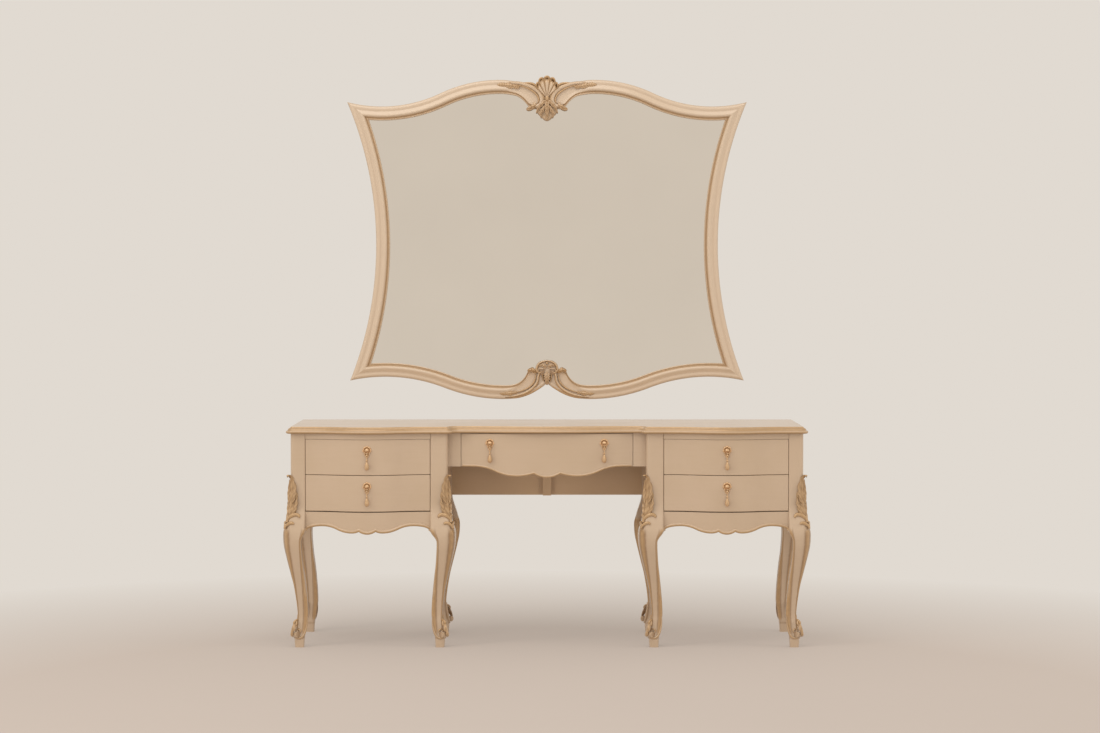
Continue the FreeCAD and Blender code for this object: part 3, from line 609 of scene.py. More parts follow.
def table_top():
    """Slab with a moulding carried round its front and ends.

    Each point of the moulding's profile is moved inwards from the outline along the outline's
    normal, so the profile keeps its shape round every curve.
    """
    half = top_outline()
    outline = np.concatenate([half, half[-2::-1] * (-1, 1)])
    along = unit(np.gradient(outline, axis=0))
    outward = np.stack([-along[:, 1], along[:, 0]], 1)
    outward[[0, -1]] = [(1, 0), (-1, 0)]
    knots = [(9.0, 0.0), (3.2, 0.9), (0.4, 3.8), (0.0, 6.5), (0.9, 9.2), (3.6, 10.4), (5.2, 10.8)]
    knots += [(5.8, 11.9), (7.0, 14.6), (9.6, 17.6), (12.6, 19.6), (15.2, 21.2), (16.4, 23.0)]
    knots += [(17.0, 24.0), (19.0, 24.0)]
    inset, rise = smooth_path(knots, 46).T
    rise = np.clip(rise, 0, TOP_FACE - CASE_TOP)
    points = np.empty((len(outline), len(inset), 3))
    points[..., :2] = outline[:, None] - outward[:, None] * inset[None, :, None]
    points[..., 2] = CASE_TOP + rise
    # gilding held back round 9 mm up, leaving a cream band along the nose: a painted highlight; the
    # flat top past 17.3 mm is plain paint
    gild_and_highlight = np.clip(0.95 - 0.55 * bump(rise, 9.0, 3.6) - 1.0 * (inset > 17.3), 0, 1)
    # darker in the groove at 11.4 mm, along the bottom edge where it paints the shadow line under the
    # top, and over the upward-facing upper roll: painted shade
    glaze_and_shade = 0.35 * bump(rise, 11.4, 1.0) + 0.45 * bump(rise, 2.4, 2.6)
    glaze_and_shade = glaze_and_shade + 0.3 * smooth_step(rise, 12.0, 14.0) * (1 - smooth_step(rise, 19.0, 22.5))
    rows, columns = points.shape[:2]
    index = np.arange(rows * columns).reshape(rows, columns)
    surface, faces, marks = grid(points, gild_and_highlight, glaze_and_shade)
    faces += [index[:, -1].tolist(), index[::-1, 0].tolist()]
    faces += [index[0].tolist() + index[-1, ::-1].tolist()]
    return surface, faces, marks


class VANITY_OT_table_top(bpy.types.Operator):
    """Table top with its gilded moulded edge"""

    bl_idname = "vanity.table_top"
    bl_label = "Table top"

    def execute(self, context):
        painted("table_top_moulded", [table_top()], "case", ["table_top"], crease=30)
        return {"FINISHED"}


# ---- Legs ---------------------------------------------------------------------------------
LEG_HEIGHTS = np.array([0, 28, 45, 75, 105, 148, 182, 217, 251, 285, 320, 354, 389, 420.0])
LEG_SPLAY = np.array([0, 0, -2, -7, -11, -9, -5, 0, 6.5, 13.4, 19.4, 24, 24.2, 20])
SIDE_FOOT, FRONT_FOOT, BACK_FOOT = 28.0, 28.0, 35.0  # foot centres inside the case's faces
BACK_SWAY = 0.35  # back legs swell less towards the wall
DIAGONAL = 0.707  # each level part of a step along the outward corner
LEG_HALF = np.array([15.2, 17, 17, 16.5, 17, 18.4, 19.8, 21.5, 23.7, 25.5, 28, 30.4, 31.8, 31])


def smooth_values(z, knots, values):
    """Smooth curve through values at uneven knots: cubic Hermite with averaged slopes."""
    slopes = np.gradient(values, knots)
    i = np.clip(np.searchsorted(knots, z, side="right") - 1, 0, len(knots) - 2)
    step = knots[i + 1] - knots[i]
    t = np.clip((z - knots[i]) / step, 0, 1)
    rest = (1 - t) ** 2
    start = rest * (1 + 2 * t) * values[i] + rest * t * step * slopes[i]
    return start + t**2 * (3 - 2 * t) * values[i + 1] - t**2 * (1 - t) * step * slopes[i + 1]


def leg_reach(z, post_out, post_in, sway=1.0):
    """Outward and inward reach of a leg from its foot's centre line, at heights z."""
    splay = smooth_values(z, LEG_HEIGHTS, LEG_SPLAY) * sway
    half = smooth_values(z, LEG_HEIGHTS, LEG_HALF)
    outward = (splay + half) + (post_out - splay - half) * smooth_step(z, 400, 500)
    inward = (half - splay) + (post_in - half + splay) * smooth_step(z, 362, 408) ** 1.6
    return outward, inward


def leg_surface(post_x, post_y, sway):
    """Cabriole leg about its foot's middle, with its outward corner towards +X and -Y.

    Each level section is a rounded square, |x|^n + |y|^n = 1 in each quarter, stretched to the
    leg's reach on its four sides. n is small at the outward corner, larger at the others, and
    grows from a soft ankle to a square post. A bead runs down each corner and the faces between
    the beads are hollowed.
    """
    z = np.concatenate([np.linspace(0, 470, 150), np.linspace(473, CASE_TOP, 30)])[:, None]
    turn = np.linspace(0, 2 * np.pi, 144, endpoint=False)[None, :]
    c, s = np.cos(turn), np.sin(turn)
    out_x, in_x = leg_reach(z, *post_x)
    out_y, in_y = leg_reach(z, *post_y, sway)
    outward = bump(turn, np.pi / 4, 0.62)
    foot = smooth_step(z, 24, 44)
    n = 5.0 + foot * (-0.6 - 2.1 * outward)
    n = n + (16.0 - 11.0 * outward - n) * smooth_step(z, 375, 470)
    square = (np.abs(c) ** n + np.abs(s) ** n) ** (-1 / n)
    x = c * square * np.where(c > 0, out_x, in_x)
    y = s * square * np.where(s > 0, out_y, in_y)
    to_corner = np.abs((turn % (np.pi / 2)) - np.pi / 4)
    is_outward = np.abs(turn - np.pi / 4) < np.pi / 4
    width = np.where(is_outward, 0.11, 0.17)
    shaft = smooth_step(z, 34, 60) * (1 - smooth_step(z, 392, 425))
    bead = np.sqrt(np.clip(1 - (to_corner / (1.9 * width)) ** 2, 0, 1)) * shaft
    edge = bpy.context.scene.vanity_legs.edge
    lift = edge * bead - 1.5 * smooth_step(to_corner, 1.7 * width, 0.6) * shaft
    points = np.stack(np.broadcast_arrays(x + c * lift, -y - s * lift, z), -1)
    gild_and_highlight = 0.95 * smooth_step(bead, 0.1, 0.7)
    # darker in the hollow beside each corner bead, on the beads' outer flanks and in a line at 33 mm
    # over the foot: glazing that doubles as painted shade
    glaze_and_shade = 0.75 * bump(to_corner, 2.0 * width, 0.05) * shaft + 0.3 * bead * (to_corner > 0.7 * width)
    glaze_and_shade = glaze_and_shade + 0.5 * bump(z, 33, 3.5) + 0.2 * bump(to_corner, 2.0 * width, 0.14) * shaft
    return grid(points, gild_and_highlight, glaze_and_shade, around=True, ends=True)


def on_diagonal(out, z, aside=0.0, start=0.0):
    """Point out along a leg's outward corner from its middle line, or aside from there."""
    return start + DIAGONAL * (out - aside), -start - DIAGONAL * (out + aside), z


def on_face(steps, post_x, post_y, stand):
    """Points (inwards from the outward edge, height) laid on a leg's front and side faces."""
    inwards, z = np.asarray(steps, float).T
    out_x, _ = leg_reach(z, *post_x)
    out_y, _ = leg_reach(z, *post_y)
    round_off = 9.0 * np.clip(1 - inwards / 16, 0, 1) ** 2
    front = np.stack([out_x - inwards, -out_y - stand + round_off, z], 1)
    side = np.stack([out_x + stand - round_off, inwards - out_y, z], 1)
    return front, side


def both_faces(steps, posts, stand, width, height, gild_and_highlight=(0.45, 0.9), count=44):
    """The same scroll laid on a leg's front and side faces."""
    made = []
    for points, facing in zip(on_face(steps, *posts, stand), ((0, -1, 0), (1, 0, 0))):
        path = smooth_path(points, count)
        made.append(strip(path, facing, taper(count, 0.45, 0.5) * width, height, gild_and_highlight))
    return made


def knee_leaf():
    """Carved leaf up the outward corner, its tip bent forward, between two smaller leaves."""
    depth = bpy.context.scene.vanity_legs.leaf
    corner = 23.0  # the leaf's ground, on both faces, from the leg's middle line

    def at(out, z, aside=0.0):
        return on_diagonal(out, z, aside, corner)

    main = [at(15, 446), at(11, 466), at(5, 490), at(2, 518), at(1, 550), at(4, 578), at(11, 597)]
    made = [leaf(main, OUTWARD, 25.0, depth, lobes=6, wrap=1.1, count=120, gild_and_highlight=0.9)]
    for side in (-1, 1):
        low = [at(12, 450, side * 5), at(6, 472, side * 14)]
        low += [at(0, 496, side * 20), at(-4, 520, side * 21)]
        made.append(leaf(low, OUTWARD, 9.5, depth * 0.9, lobes=4, wrap=0.5, count=52, gild_and_highlight=0.85))
        high = [at(8, 498, side * 7), at(4, 524, side * 14)]
        high += [at(1, 550, side * 15), at(3, 580, side * 9)]
        made.append(leaf(high, OUTWARD, 9.0, depth * 0.8, lobes=4, wrap=0.5, count=48, gild_and_highlight=0.85))
    tip = smooth_path([at(9, 586), at(15, 594), at(20, 594), at(20, 588)], 18)
    made.append(strip(tip, (0, 0, 1), taper(18, 0.5, 0.2) * 4.6, taper(18, 0.5, 0.2) * 2.8))
    return made


def knee_scrolls(posts):
    """Hooked scrolls that sweep in from the knee's outward corner across both its faces."""
    first = [(2, 434), (5, 447), (14, 457), (27, 461), (38, 457), (42, 451)]
    second = [(3, 414), (7, 425), (16, 432), (26, 432), (31, 428)]
    made = both_faces(first, posts, 1.0, 6.4, 5.6, (0.75, 1.0))
    return made + both_faces(second, posts, 0.6, 5.4, 5.0, (0.75, 1.0))


def ear_bead(posts):
    """Bead that carries the apron's edge forward and down the leg's inward front corner."""
    z = np.linspace(396, 130, 24)
    out_y = leg_reach(z, *posts[1])[0]
    in_x = leg_reach(z, *posts[0])[1]
    corner = 0.865  # how far out the rounded corner's ridge is, of the leg's reach
    ridge = np.stack([2.5 - corner * in_x, 0.5 - corner * out_y, z], 1)
    post_in, post_front = posts[0][1], posts[1][0]
    start = np.array([(-post_in - 3, 1 - post_front, 409.5), (3 - post_in, -post_front - 5, 406.5)])
    path = smooth_path(np.concatenate([start, ridge]), 110)
    thick = np.interp(np.linspace(0, 1, 110), (0, 0.2, 0.8, 1), (0.85, 1, 0.75, 0.2))
    # one side of the bead is fully gilt and the other paler: a painted highlight along the paler side
    return [strip(path, (0, -1, 0), 6.8 * thick, 4.8 * thick, (0.95, 0.55), 20)]


def foot_scroll(posts):
    """Scroll that curls under each face of the foot, and the leaf that hangs outside it."""
    scroll = [(32, 108), (34, 84), (34, 62), (30, 43), (19, 33), (7, 35), (0, 46), (3, 58)]
    scroll += [(12, 62), (17, 55), (12, 50)]
    made = both_faces(scroll, posts, 0.5, 3.9, 4.2, (0.2, 0.85), 90)
    at = on_diagonal
    bud = smooth_path([at(10, 94), at(18, 93), at(25, 87), at(24, 80), at(19, 80)], 30)
    made.append(strip(bud, OUTWARD, taper(30, 0.4, 0.5) * 4.0, 3.6))
    hang = [at(14, 96), at(23, 82), at(31, 68), at(37, 52), at(36, 40)]
    made.append(leaf(hang, OUTWARD, 11.0, 5.0, lobes=3, wrap=1.0, count=60, gild_and_highlight=0.8))
    roll = np.array([at(21, 45, aside) for aside in np.linspace(-14, 14, 9)])
    made.append(strip(roll, OUTWARD, 10.0, 10.0, gild_and_highlight=0.25, around=24))
    return made


class VANITY_OT_legs(bpy.types.Operator):
    """Eight cabriole legs, the front ones with carved knees"""

    bl_idname = "vanity.legs"
    bl_label = "Cabriole legs"

    def execute(self, context):
        for side, sign in SIDES.items():
            for depth in ("front", "back"):
                for place in ("inner", "outer"):
                    self.build_leg(side, sign, depth, place)
        return {"FINISHED"}

    def build_leg(self, side, sign, depth, place):
        front, inner = depth == "front", place == "inner"
        width = OPENING_INNER - PEDESTAL_INNER if inner else PEDESTAL_OUTER - OPENING_OUTER
        behind = FRONT_FOOT if front else BACK_FOOT
        posts = (SIDE_FOOT, width - SIDE_FOOT), (behind, POST_DEPTH - behind)
        sway = 1.0 if front else BACK_SWAY
        surfaces = [leg_surface(*posts, sway), *foot_scroll(posts)]
        if front:
            surfaces += knee_leaf() + knee_scrolls(posts) + ear_bead(posts)
        points, faces, marks = join(surfaces)
        # drawn with its outward corner to the front right; the others are its reflections
        turned_round = [not front, inner]
        points = points * (-1 if inner else 1, 1 if front else -1, 1)
        if sum(turned_round) % 2:
            faces = [face[::-1] for face in faces]
        across = PEDESTAL_INNER + SIDE_FOOT if inner else PEDESTAL_OUTER - SIDE_FOOT
        along = CASE_FRONT + FRONT_FOOT if front else CASE_BACK - BACK_FOOT
        made = points + (across, along, 0), faces, marks
        name = f"{side}_{depth}_{place}_leg"
        painted(f"{name}_carved", [sided(made, sign)], "case", [name], crease=42)


# ---- Aprons, rails and drawer fronts ------------------------------------------------------
class VANITY_OT_case_fronts(bpy.types.Operator):
    """Serpentine rails and aprons with the gilded bead along each apron's lower edge"""

    bl_idname = "vanity.case_fronts"
    bl_label = "Rails and aprons"

    def execute(self, context):
        x = np.linspace(OPENING_INNER, OPENING_OUTER, 241)
        face = pedestal_face(x)
        rail = curved_board(x, RAIL_LOW[2], RAIL_HIGH[2], face, face + BOARD)
        top = cad("right_front_apron")[1][2]
        edge = apron_edge(x - DRAWER_MIDDLE)
        apron = curved_board(x, edge + 1, top, face, face + BOARD)
        path = np.stack([x, face + 1.0, edge + 4.6], 1)
        # the bead's upper half is kept cream and its lower half gilt: the cream top is a painted
        # highlight
        bead = strip(path, (0, -1, 0), 5.6, 5.0, gild_and_highlight=(0.1, 1.0), around=20)
        for side, sign in SIDES.items():
            name = f"{side}_front"
            shaped = sided(join([apron, bead]), sign)
            painted(f"{name}_top_rail_bowed", [sided(rail, sign)], "case", [f"{name}_top_rail"])
            painted(f"{name}_apron_shaped", [shaped], "case", [f"{name}_apron"])
        return {"FINISHED"}


class VANITY_OT_drawer_fronts(bpy.types.Operator):
    """Bowed drawer fronts with eased edges"""

    bl_idname = "vanity.drawer_fronts"
    bl_label = "Drawer fronts"

    def execute(self, context):
        for side, sign in SIDES.items():
            for level in LEVELS:
                name = f"{side}_{level}_drawer_front"
                low, high = cad(f"right_{level}_drawer_front")
                low, high = low - SEAM, high + SEAM
                x = np.linspace(low[0], high[0], 161)
                face = pedestal_face(x)
                board = sided(curved_board(x, low[2], high[2], face, face + BOARD), sign)
                drawer = f"{side}_{level}_drawer"
                painted(f"{name}_bowed", [board], drawer, [name], crease=40, eased=2.4)
        low, high = cad("centre_drawer_front")
        x = np.linspace(low[0], high[0], 241)
        edge = centre_edge(x)
        face = centre_face(x)
        board = curved_board(x, edge + 1, high[2], face, CENTRE_BACK)
        path = np.stack([x, face + 1.0, edge + 3.4], 1)[2:-2]
        # the bead's upper half is kept cream and its lower half gilt: the cream top is a painted
        # highlight
        bead = strip(path, (0, -1, 0), 4.0, 3.6, gild_and_highlight=(0.1, 1.0), around=18)
        name = "centre_drawer_front"
        painted(f"{name}_bowed", [board, bead], "centre_drawer", [name], crease=40)
        return {"FINISHED"}


# ---- Pulls --------------------------------------------------------------------------------
def turned(profile, centre, count=28, gild_and_highlight=1.0, glaze_and_shade=None):
    """Lathe-turned shape about an upright axis: profile is (radius, height) from the top down."""
    radius, height = np.asarray(profile, float).T
    turn = np.linspace(0, 2 * np.pi, count, endpoint=False)
    points = np.empty((len(radius), count, 3))
    points[..., 0] = radius[:, None] * np.cos(turn)
    points[..., 1] = radius[:, None] * np.sin(turn)
    points[..., 2] = height[:, None]
    marks = 0.0 if glaze_and_shade is None else np.broadcast_to(glaze_and_shade[:, None], points.shape[:2])
    return grid(points + np.asarray(centre), gild_and_highlight, marks, around=True, ends=True)


PLATE_BELOW = 15.5  # rosette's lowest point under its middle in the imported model
PIN = (-11.5, -9.0)  # drop's pin in front of the drawer's face, and above the rosette's middle
EAR = 4.0  # each ear aside of the pull's middle


def rosette(x, face, z):
    """Cast backplate: a petalled disc drawn out below to a point, stepped up to a domed boss."""
    r = np.linspace(0.02, 1, 26)[:, None]
    turn = np.linspace(0, 2 * np.pi, 96, endpoint=False)[None, :]
    petal = np.abs(np.cos(4 * turn))
    stem = np.clip(-np.sin(turn), 0, 1)
    reach = r * (15.4 * (1 - 0.10 * (1 - petal) * r) - 3.0 * bump(stem, 0.7, 0.25) + 9.0 * stem**7)
    height = 1.2 + 2.8 * bump(r, 0.80, 0.13) * (0.55 + 0.45 * petal) + 1.6 * bump(r, 0.95, 0.05)
    height = height + 2.4 * np.sqrt(np.clip(1 - (r / 0.42) ** 2, 0, 1)) + 0 * turn
    points = np.stack([x + reach * np.cos(turn), face - height, z + 1.06 * reach * np.sin(turn)], -1)
    rim = points[-1:].copy()
    rim[..., 1] = face + 2.0
    middle = rim * 0 + (x, face + 2.0, z)
    points = np.concatenate([points, rim, middle + (rim - middle) * 0.02])
    r = np.concatenate([r, [[1.0], [0.0]]])
    # dark ring round the boss all round: patina that doubles as painted shade in that crease; a second
    # ring only on the upper half and furrows between the petals only on the lower half: painted shade
    # by side
    upper = smooth_step(np.sin(turn), 0.0, 0.6)
    furrow = 0.8 * (1 - upper) * bump(petal, 0, 0.3) * bump(r, 0.75, 0.3)
    glaze_and_shade = 0.8 * bump(r, 0.5, 0.07) + 0.9 * upper * bump(r, 0.66, 0.10) + furrow
    return grid(points, 1.0, glaze_and_shade, around=True, ends=True)


def pull(x, face, z):
    """Rosette with its knob and ears, and the teardrop that hangs from the pin between them."""
    pivot = np.array([x, face + PIN[0], z + PIN[1]])
    knob = [(0.3, 6.0), (3.0, 5.6), (5.4, 3.6), (6.2, 0.8), (5.4, -2.4), (3.6, -4.4), (3.0, -5.4)]
    knob = turned(smooth_path(knob, 22), (0, 0, 0))
    # the knob's axis points at the sitter, so height becomes -y
    shape = knob[0][:, [0, 2, 1]] * (1.15, -1, 0.85) + (x, face - 7.4, z + 2.0)
    fixed = [rosette(x, face, z), (shape, knob[1], knob[2])]
    for aside in (-1, 1):
        over = aside * EAR
        ear = [(x + over, face - 1, z - 4), (x + over, face - 7, z - 7.5)]
        ear.append(tuple(pivot + (over, -2.4, 0.6)))
        fixed.append(strip(smooth_path(ear, 12), (0, 0, 1), 1.2, 2.6, around=12))
    pin = np.linspace(pivot - (5.4, 0, 0), pivot + (5.4, 0, 0), 4)
    fixed.append(strip(pin, (0, 0, 1), 1.15, 1.15, around=16))
    ring = np.linspace(0, 2 * np.pi, 33)
    eye = np.stack([0 * ring, 2.7 * np.cos(ring), 2.7 * np.sin(ring)], 1) + pivot
    hung = [strip(eye, (1, 0, 0), 1.25, 1.9, around=12)]
    profile = [(0.4, -2.6), (1.9, -3.4), (2.1, -5.2), (3.2, -6.8), (3.2, -8.2), (1.9, -9.8)]
    profile += [(1.8, -15), (1.9, -20), (2.3, -22.6), (3.7, -24.2), (3.7, -26.0), (2.1, -27.6)]
    profile += [(2.9, -30.5), (4.8, -35.5), (6.5, -41.5), (7.1, -47), (6.5, -52), (4.4, -55.8)]
    profile.append((0.3, -58))
    radius_height = smooth_path(profile, 76)
    hollows = 0.7 * bump(radius_height[:, 1], -9.8, 1.2) + 0.6 * bump(radius_height[:, 1], -28, 1.2)
    hung.append(turned(radius_height, pivot, 32, 1.0, hollows + 0.3))
    return fixed, hung


class VANITY_OT_pulls(bpy.types.Operator):
    """Gilt drop pulls: fixed rosettes and hinged teardrops"""

    bl_idname = "vanity.pulls"
    bl_label = "Drop pulls"

    def execute(self, context):
        for side in SIDES:
            for level in LEVELS:
                name = f"{side}_{level}"
                low, high = cad(f"{name}_pull_rosette")
                fixed, hung = pull((low[0] + high[0]) / 2, CROWN_FRONT, low[2] + PLATE_BELOW)
                cast(f"{name}_rosette_cast", fixed, f"{name}_drawer", [f"{name}_pull_rosette"])
                cast(f"{name}_drop_turned", hung, f"{name}_drop", [f"{name}_pull_drop"])
        rosettes = []
        z = cad("centre_pull_rosettes")[0][2] + PLATE_BELOW
        for side in SIDES:
            name = f"centre_{side}"
            low, high = cad(f"{name}_pull_drop")
            x = (low[0] + high[0]) / 2
            fixed, hung = pull(x, float(centre_face(x)), z)
            rosettes += fixed
            cast(f"{name}_drop_turned", hung, f"{name}_drop", [f"{name}_pull_drop"])
        cast("centre_rosettes_cast", rosettes, "centre_drawer", ["centre_pull_rosettes"])
        return {"FINISHED"}


# ---- Mirror frame -------------------------------------------------------------------------
UPPER_TIP, LOWER_TIP = (716.0, 1902.0), (706.0, 907.5)
CREST_TOP, DIP = (170.0, 1981.0), (592.0, 1886.0)
FOOT, RISE = (153.0, 836.6), (581.0, 917.0)
SIDE_WAIST = (613.0, 1391.0)
TOP_R, BOTTOM_R = 290.0, 235.0  # arcs over the middle of the top and bottom rails
TOP_RISE, BOTTOM_RISE = (20.0, 112.0, 1.5), (27.0, 125.0, 2.0)  # reach, start, power of each lip


def ogee_radius(a, b):
    """Radius of the two equal arcs of an S-curve from a to b, level at both ends."""
    run, climb = b[0] - a[0], b[1] - a[1]
    return (run**2 + climb**2) / (4 * abs(climb))


def circle_through(a, b, c):
    """Centre and radius of the circle through three points."""
    bx, bz, cx, cz = b[0] - a[0], b[1] - a[1], c[0] - a[0], c[1] - a[1]
    double = 2 * (bx * cz - bz * cx)
    x = (cz * (bx**2 + bz**2) - bz * (cx**2 + cz**2)) / double
    z = (bx * (cx**2 + cz**2) - cx * (bx**2 + bz**2)) / double
    return (a[0] + x, a[1] + z), math.hypot(x, z)


UPPER_R, LOWER_R = ogee_radius(CREST_TOP, DIP), ogee_radius(FOOT, RISE)
SIDE_CENTRE, SIDE_R = circle_through(UPPER_TIP, SIDE_WAIST, LOWER_TIP)
# Centre, radius and whether each arc of the outer outline bulges outwards (1) or inwards (-1)
RIM = [
    ((CREST_TOP[0], CREST_TOP[1] - TOP_R), TOP_R, 1),
    ((CREST_TOP[0], CREST_TOP[1] - UPPER_R), UPPER_R, 1),
    ((DIP[0], DIP[1] + UPPER_R), UPPER_R, -1),
    (SIDE_CENTRE, SIDE_R, -1),
    ((RISE[0], RISE[1] - LOWER_R), LOWER_R, -1),
    ((FOOT[0], FOOT[1] + LOWER_R), LOWER_R, 1),
    ((FOOT[0], FOOT[1] + BOTTOM_R), BOTTOM_R, 1),
]


def rim_meeting(i, j, inset, near):
    """Point near a given one where two rim arcs cross, at an inset from the outer outline."""
    (x0, z0), (x1, z1) = RIM[i][0], RIM[j][0]
    r0, r1 = RIM[i][1] - RIM[i][2] * inset, RIM[j][1] - RIM[j][2] * inset
    gap = math.hypot(x1 - x0, z1 - z0)
    along = (gap**2 + r0**2 - r1**2) / (2 * gap)
    up = math.sqrt(max(r0**2 - along**2, 0))
    ux, uz = (x1 - x0) / gap, (z1 - z0) / gap
    both = [(x0 + along * ux - s * up * uz, z0 + along * uz + s * up * ux) for s in (1, -1)]
    return min(both, key=lambda p: math.hypot(p[0] - near[0], p[1] - near[1]))


def angle_on_line(arc, inset, start, end, near):
    """Angle at which an offset arc crosses the line start-end, on the side of near."""
    (cx, cz), radius, bulge = arc
    r = radius - bulge * inset
    dx, dz = end[0] - start[0], end[1] - start[1]
    size = math.hypot(dx, dz)
    dx, dz = dx / size, dz / size
    to_foot = (cx - start[0]) * dx + (cz - start[1]) * dz
    foot = (start[0] + dx * to_foot, start[1] + dz * to_foot)
    away2 = (foot[0] - cx) ** 2 + (foot[1] - cz) ** 2
    reach = np.sqrt(np.maximum(r**2 - away2, 0))
    found = []
    for sign in (1, -1):
        x, z = foot[0] + sign * reach * dx, foot[1] + sign * reach * dz
        found.append((np.arctan2(z - cz, x - cx), np.hypot(x - near[0], z - near[1])))
    return np.where(found[0][1] < found[1][1], found[0][0], found[1][0])


def moulding_profile():
    """Frame's section as (inset, height off its back, gilding, brown glazing that doubles as painted
    shade), all the way round.
    """
    face = [(0, 19.5), (0.6, 24), (2.6, 28.6), (6, 31.2), (10, 32.2), (14, 31.8), (18, 31.4)]
    face += [(22, 32.6), (27, 35.2), (31.5, 36.8), (36, 35.9), (39.2, 32.2), (41.4, 28.0)]
    face += [(43.6, 26.2), (45.6, 26.8), (47.4, 28.2), (48.8, 27.6), (49.8, 24.6), (50.0, 20.0)]
    front = smooth_path(face, 92)
    back = np.array([(50, 14), (38, 14), (38, 0), (0, 0), (0, 9)])
    inset, height = np.concatenate([front, back]).T
    facing = np.arange(len(inset)) < len(front)
    gild_and_highlight = 0.85 * bump(inset, 43.2, 3.2) + 0.45 * bump(inset, 49.5, 2.0)
    gild_and_highlight = facing * (gild_and_highlight + 0.4 * bump(inset, 0.5, 2.2))
    # darker in the groove by the lip, in the shallow groove mid-face and at the outer edge: glazing
    # that doubles as painted shade
    glaze_and_shade = 0.62 * bump(inset, 42.6, 1.9) + 0.16 * bump(inset, 17.5, 3.0)
    glaze_and_shade = facing * (glaze_and_shade + 0.18 * bump(inset, 0.2, 1.2))
    return inset, height, np.clip(gild_and_highlight, 0, 1), glaze_and_shade


def spread_lip(across, inset, height, reach, start, power):
    """Section near a rail's middle: its lip moves away from the rim and its hump sinks to a dish."""
    near = np.abs(across)[:, None]
    flare = reach * np.clip((start - near) / (start - 60), 0, 1) ** power * smooth_step(near, 20, 44)
    moved = inset + flare * smooth_step(inset, 12, 47)
    facing = (height > 15) * smooth_step(inset, 11, 17) * (1 - smooth_step(inset, 40, 43))
    dished = 31.0 - 3.5 * np.sin(np.pi * np.clip((inset - 11) / 32, 0, 1))
    flat = (1 - smooth_step(near, 100, 168)) * facing
    return moved, height + (dished - height) * flat


def moulding_run(arcs, start_line, end_line, section):
    """Moulding carried along consecutive rim arcs, mitred on a straight line at each end.

    A point of the section at inset i runs on the arc's circle of radius r - bulge * i; its first
    and last angles are where that circle crosses the two mitre lines.
    """
    inset, height = section[:2]
    rows = []
    for k, arc_index in enumerate(arcs):
        arc = RIM[arc_index]
        (cx, cz), radius, bulge = arc
        if k == 0:
            a = angle_on_line(arc, inset, *start_line)
        else:
            a = np.full(len(inset), joint_angle(arc_index - 1, arc_index, arc))
        if k == len(arcs) - 1:
            b = angle_on_line(arc, inset, *end_line)
        else:
            b = np.full(len(inset), joint_angle(arc_index, arc_index + 1, arc))
        b = np.where(b - a > np.pi, b - 2 * np.pi, np.where(a - b > np.pi, b + 2 * np.pi, b))
        t = np.linspace(0, 1, 90 if len(arcs) == 1 else 60)[1 if k else 0 :, None]
        angle = a + (b - a) * t
        moved, raised = inset + 0 * t, height + 0 * t
        across = cx + radius * np.cos(angle[:, 0])
        if arc_index in (0, 1):
            moved, raised = spread_lip(across, inset, height, *TOP_RISE)
        elif arc_index in (5, 6):
            moved, raised = spread_lip(across, inset, height, *BOTTOM_RISE)
        r = radius - bulge * moved
        rows.append(np.stack([cx + r * np.cos(angle), FRAME_BACK - raised, cz + r * np.sin(angle)], -1))
    return np.concatenate(rows)


def joint_angle(i, j, arc):
    """Angle on an arc of the point where neighbouring tangent arcs i and j meet."""
    (x0, z0), (x1, z1) = RIM[i][0], RIM[j][0]
    gap = math.hypot(x1 - x0, z1 - z0)
    if RIM[i][2] != RIM[j][2]:
        px, pz = x0 + (x1 - x0) * RIM[i][1] / gap, z0 + (z1 - z0) * RIM[i][1] / gap
    else:
        px, pz = RIM[i][0][0], RIM[i][0][1] + RIM[i][1] * (1 if i < 3 else -1)
    return math.atan2(pz - arc[0][1], px - arc[0][0])


def mitre_lines():
    """Mitres at the top rail's middle, both corners and the bottom rail's middle.

    Each is two points of its line and a point that the crossings wanted are near.
    """
    width = bpy.context.scene.vanity_frame.width
    lines = [((0, 0), (0, 1), (0, 1900))]
    for i, j, tip in ((2, 3, UPPER_TIP), (3, 4, LOWER_TIP)):
        lines.append((rim_meeting(i, j, 0, tip), rim_meeting(i, j, width, tip), tip))
    return [*lines, ((0, 0), (0, 1), (0, 900))]


class VANITY_OT_mirror_frame(bpy.types.Operator):
    """Moulded mirror frame: two rails and two stiles, mitred at four pointed corners"""

    bl_idname = "vanity.mirror_frame"
    bl_label = "Mirror frame"

    def execute(self, context):
        section = moulding_profile()
        gild_and_highlight, glaze_and_shade = section[2:]
        top, upper, lower, bottom = mitre_lines()
        halves = {
            "top": moulding_run((0, 1, 2), top, upper, section),
            "bottom": moulding_run((4, 5, 6), lower, bottom, section)[::-1],
        }
        for name, half in halves.items():
            whole = np.concatenate([half[:0:-1] * (-1, 1, 1), half])
            self.member(f"{name}_rail", grid(whole, gild_and_highlight, glaze_and_shade, around=True, ends=True))
        stile = moulding_run((3,), upper, lower, section)
        stile = grid(stile, gild_and_highlight, glaze_and_shade, around=True, ends=True)
        for side, sign in SIDES.items():
            self.member(f"{side}_stile", sided(stile, sign))
        return {"FINISHED"}

    def member(self, name, surface):
        replaced = [f"mirror_frame_{name}"]
        # pale=1.0 lays the paler paint on the frame: painted light
        painted(f"mirror_{name}_moulded", [surface], "mirror", replaced, crease=32, pale=1.0)


# ---- Carved crests ------------------------------------------------------------------------
CREST_FACE = FRAME_BACK - 32  # ground that the carving stands on
CREST_BACK = GLASS_FRONT - 1  # back of the carving, clear of the glass


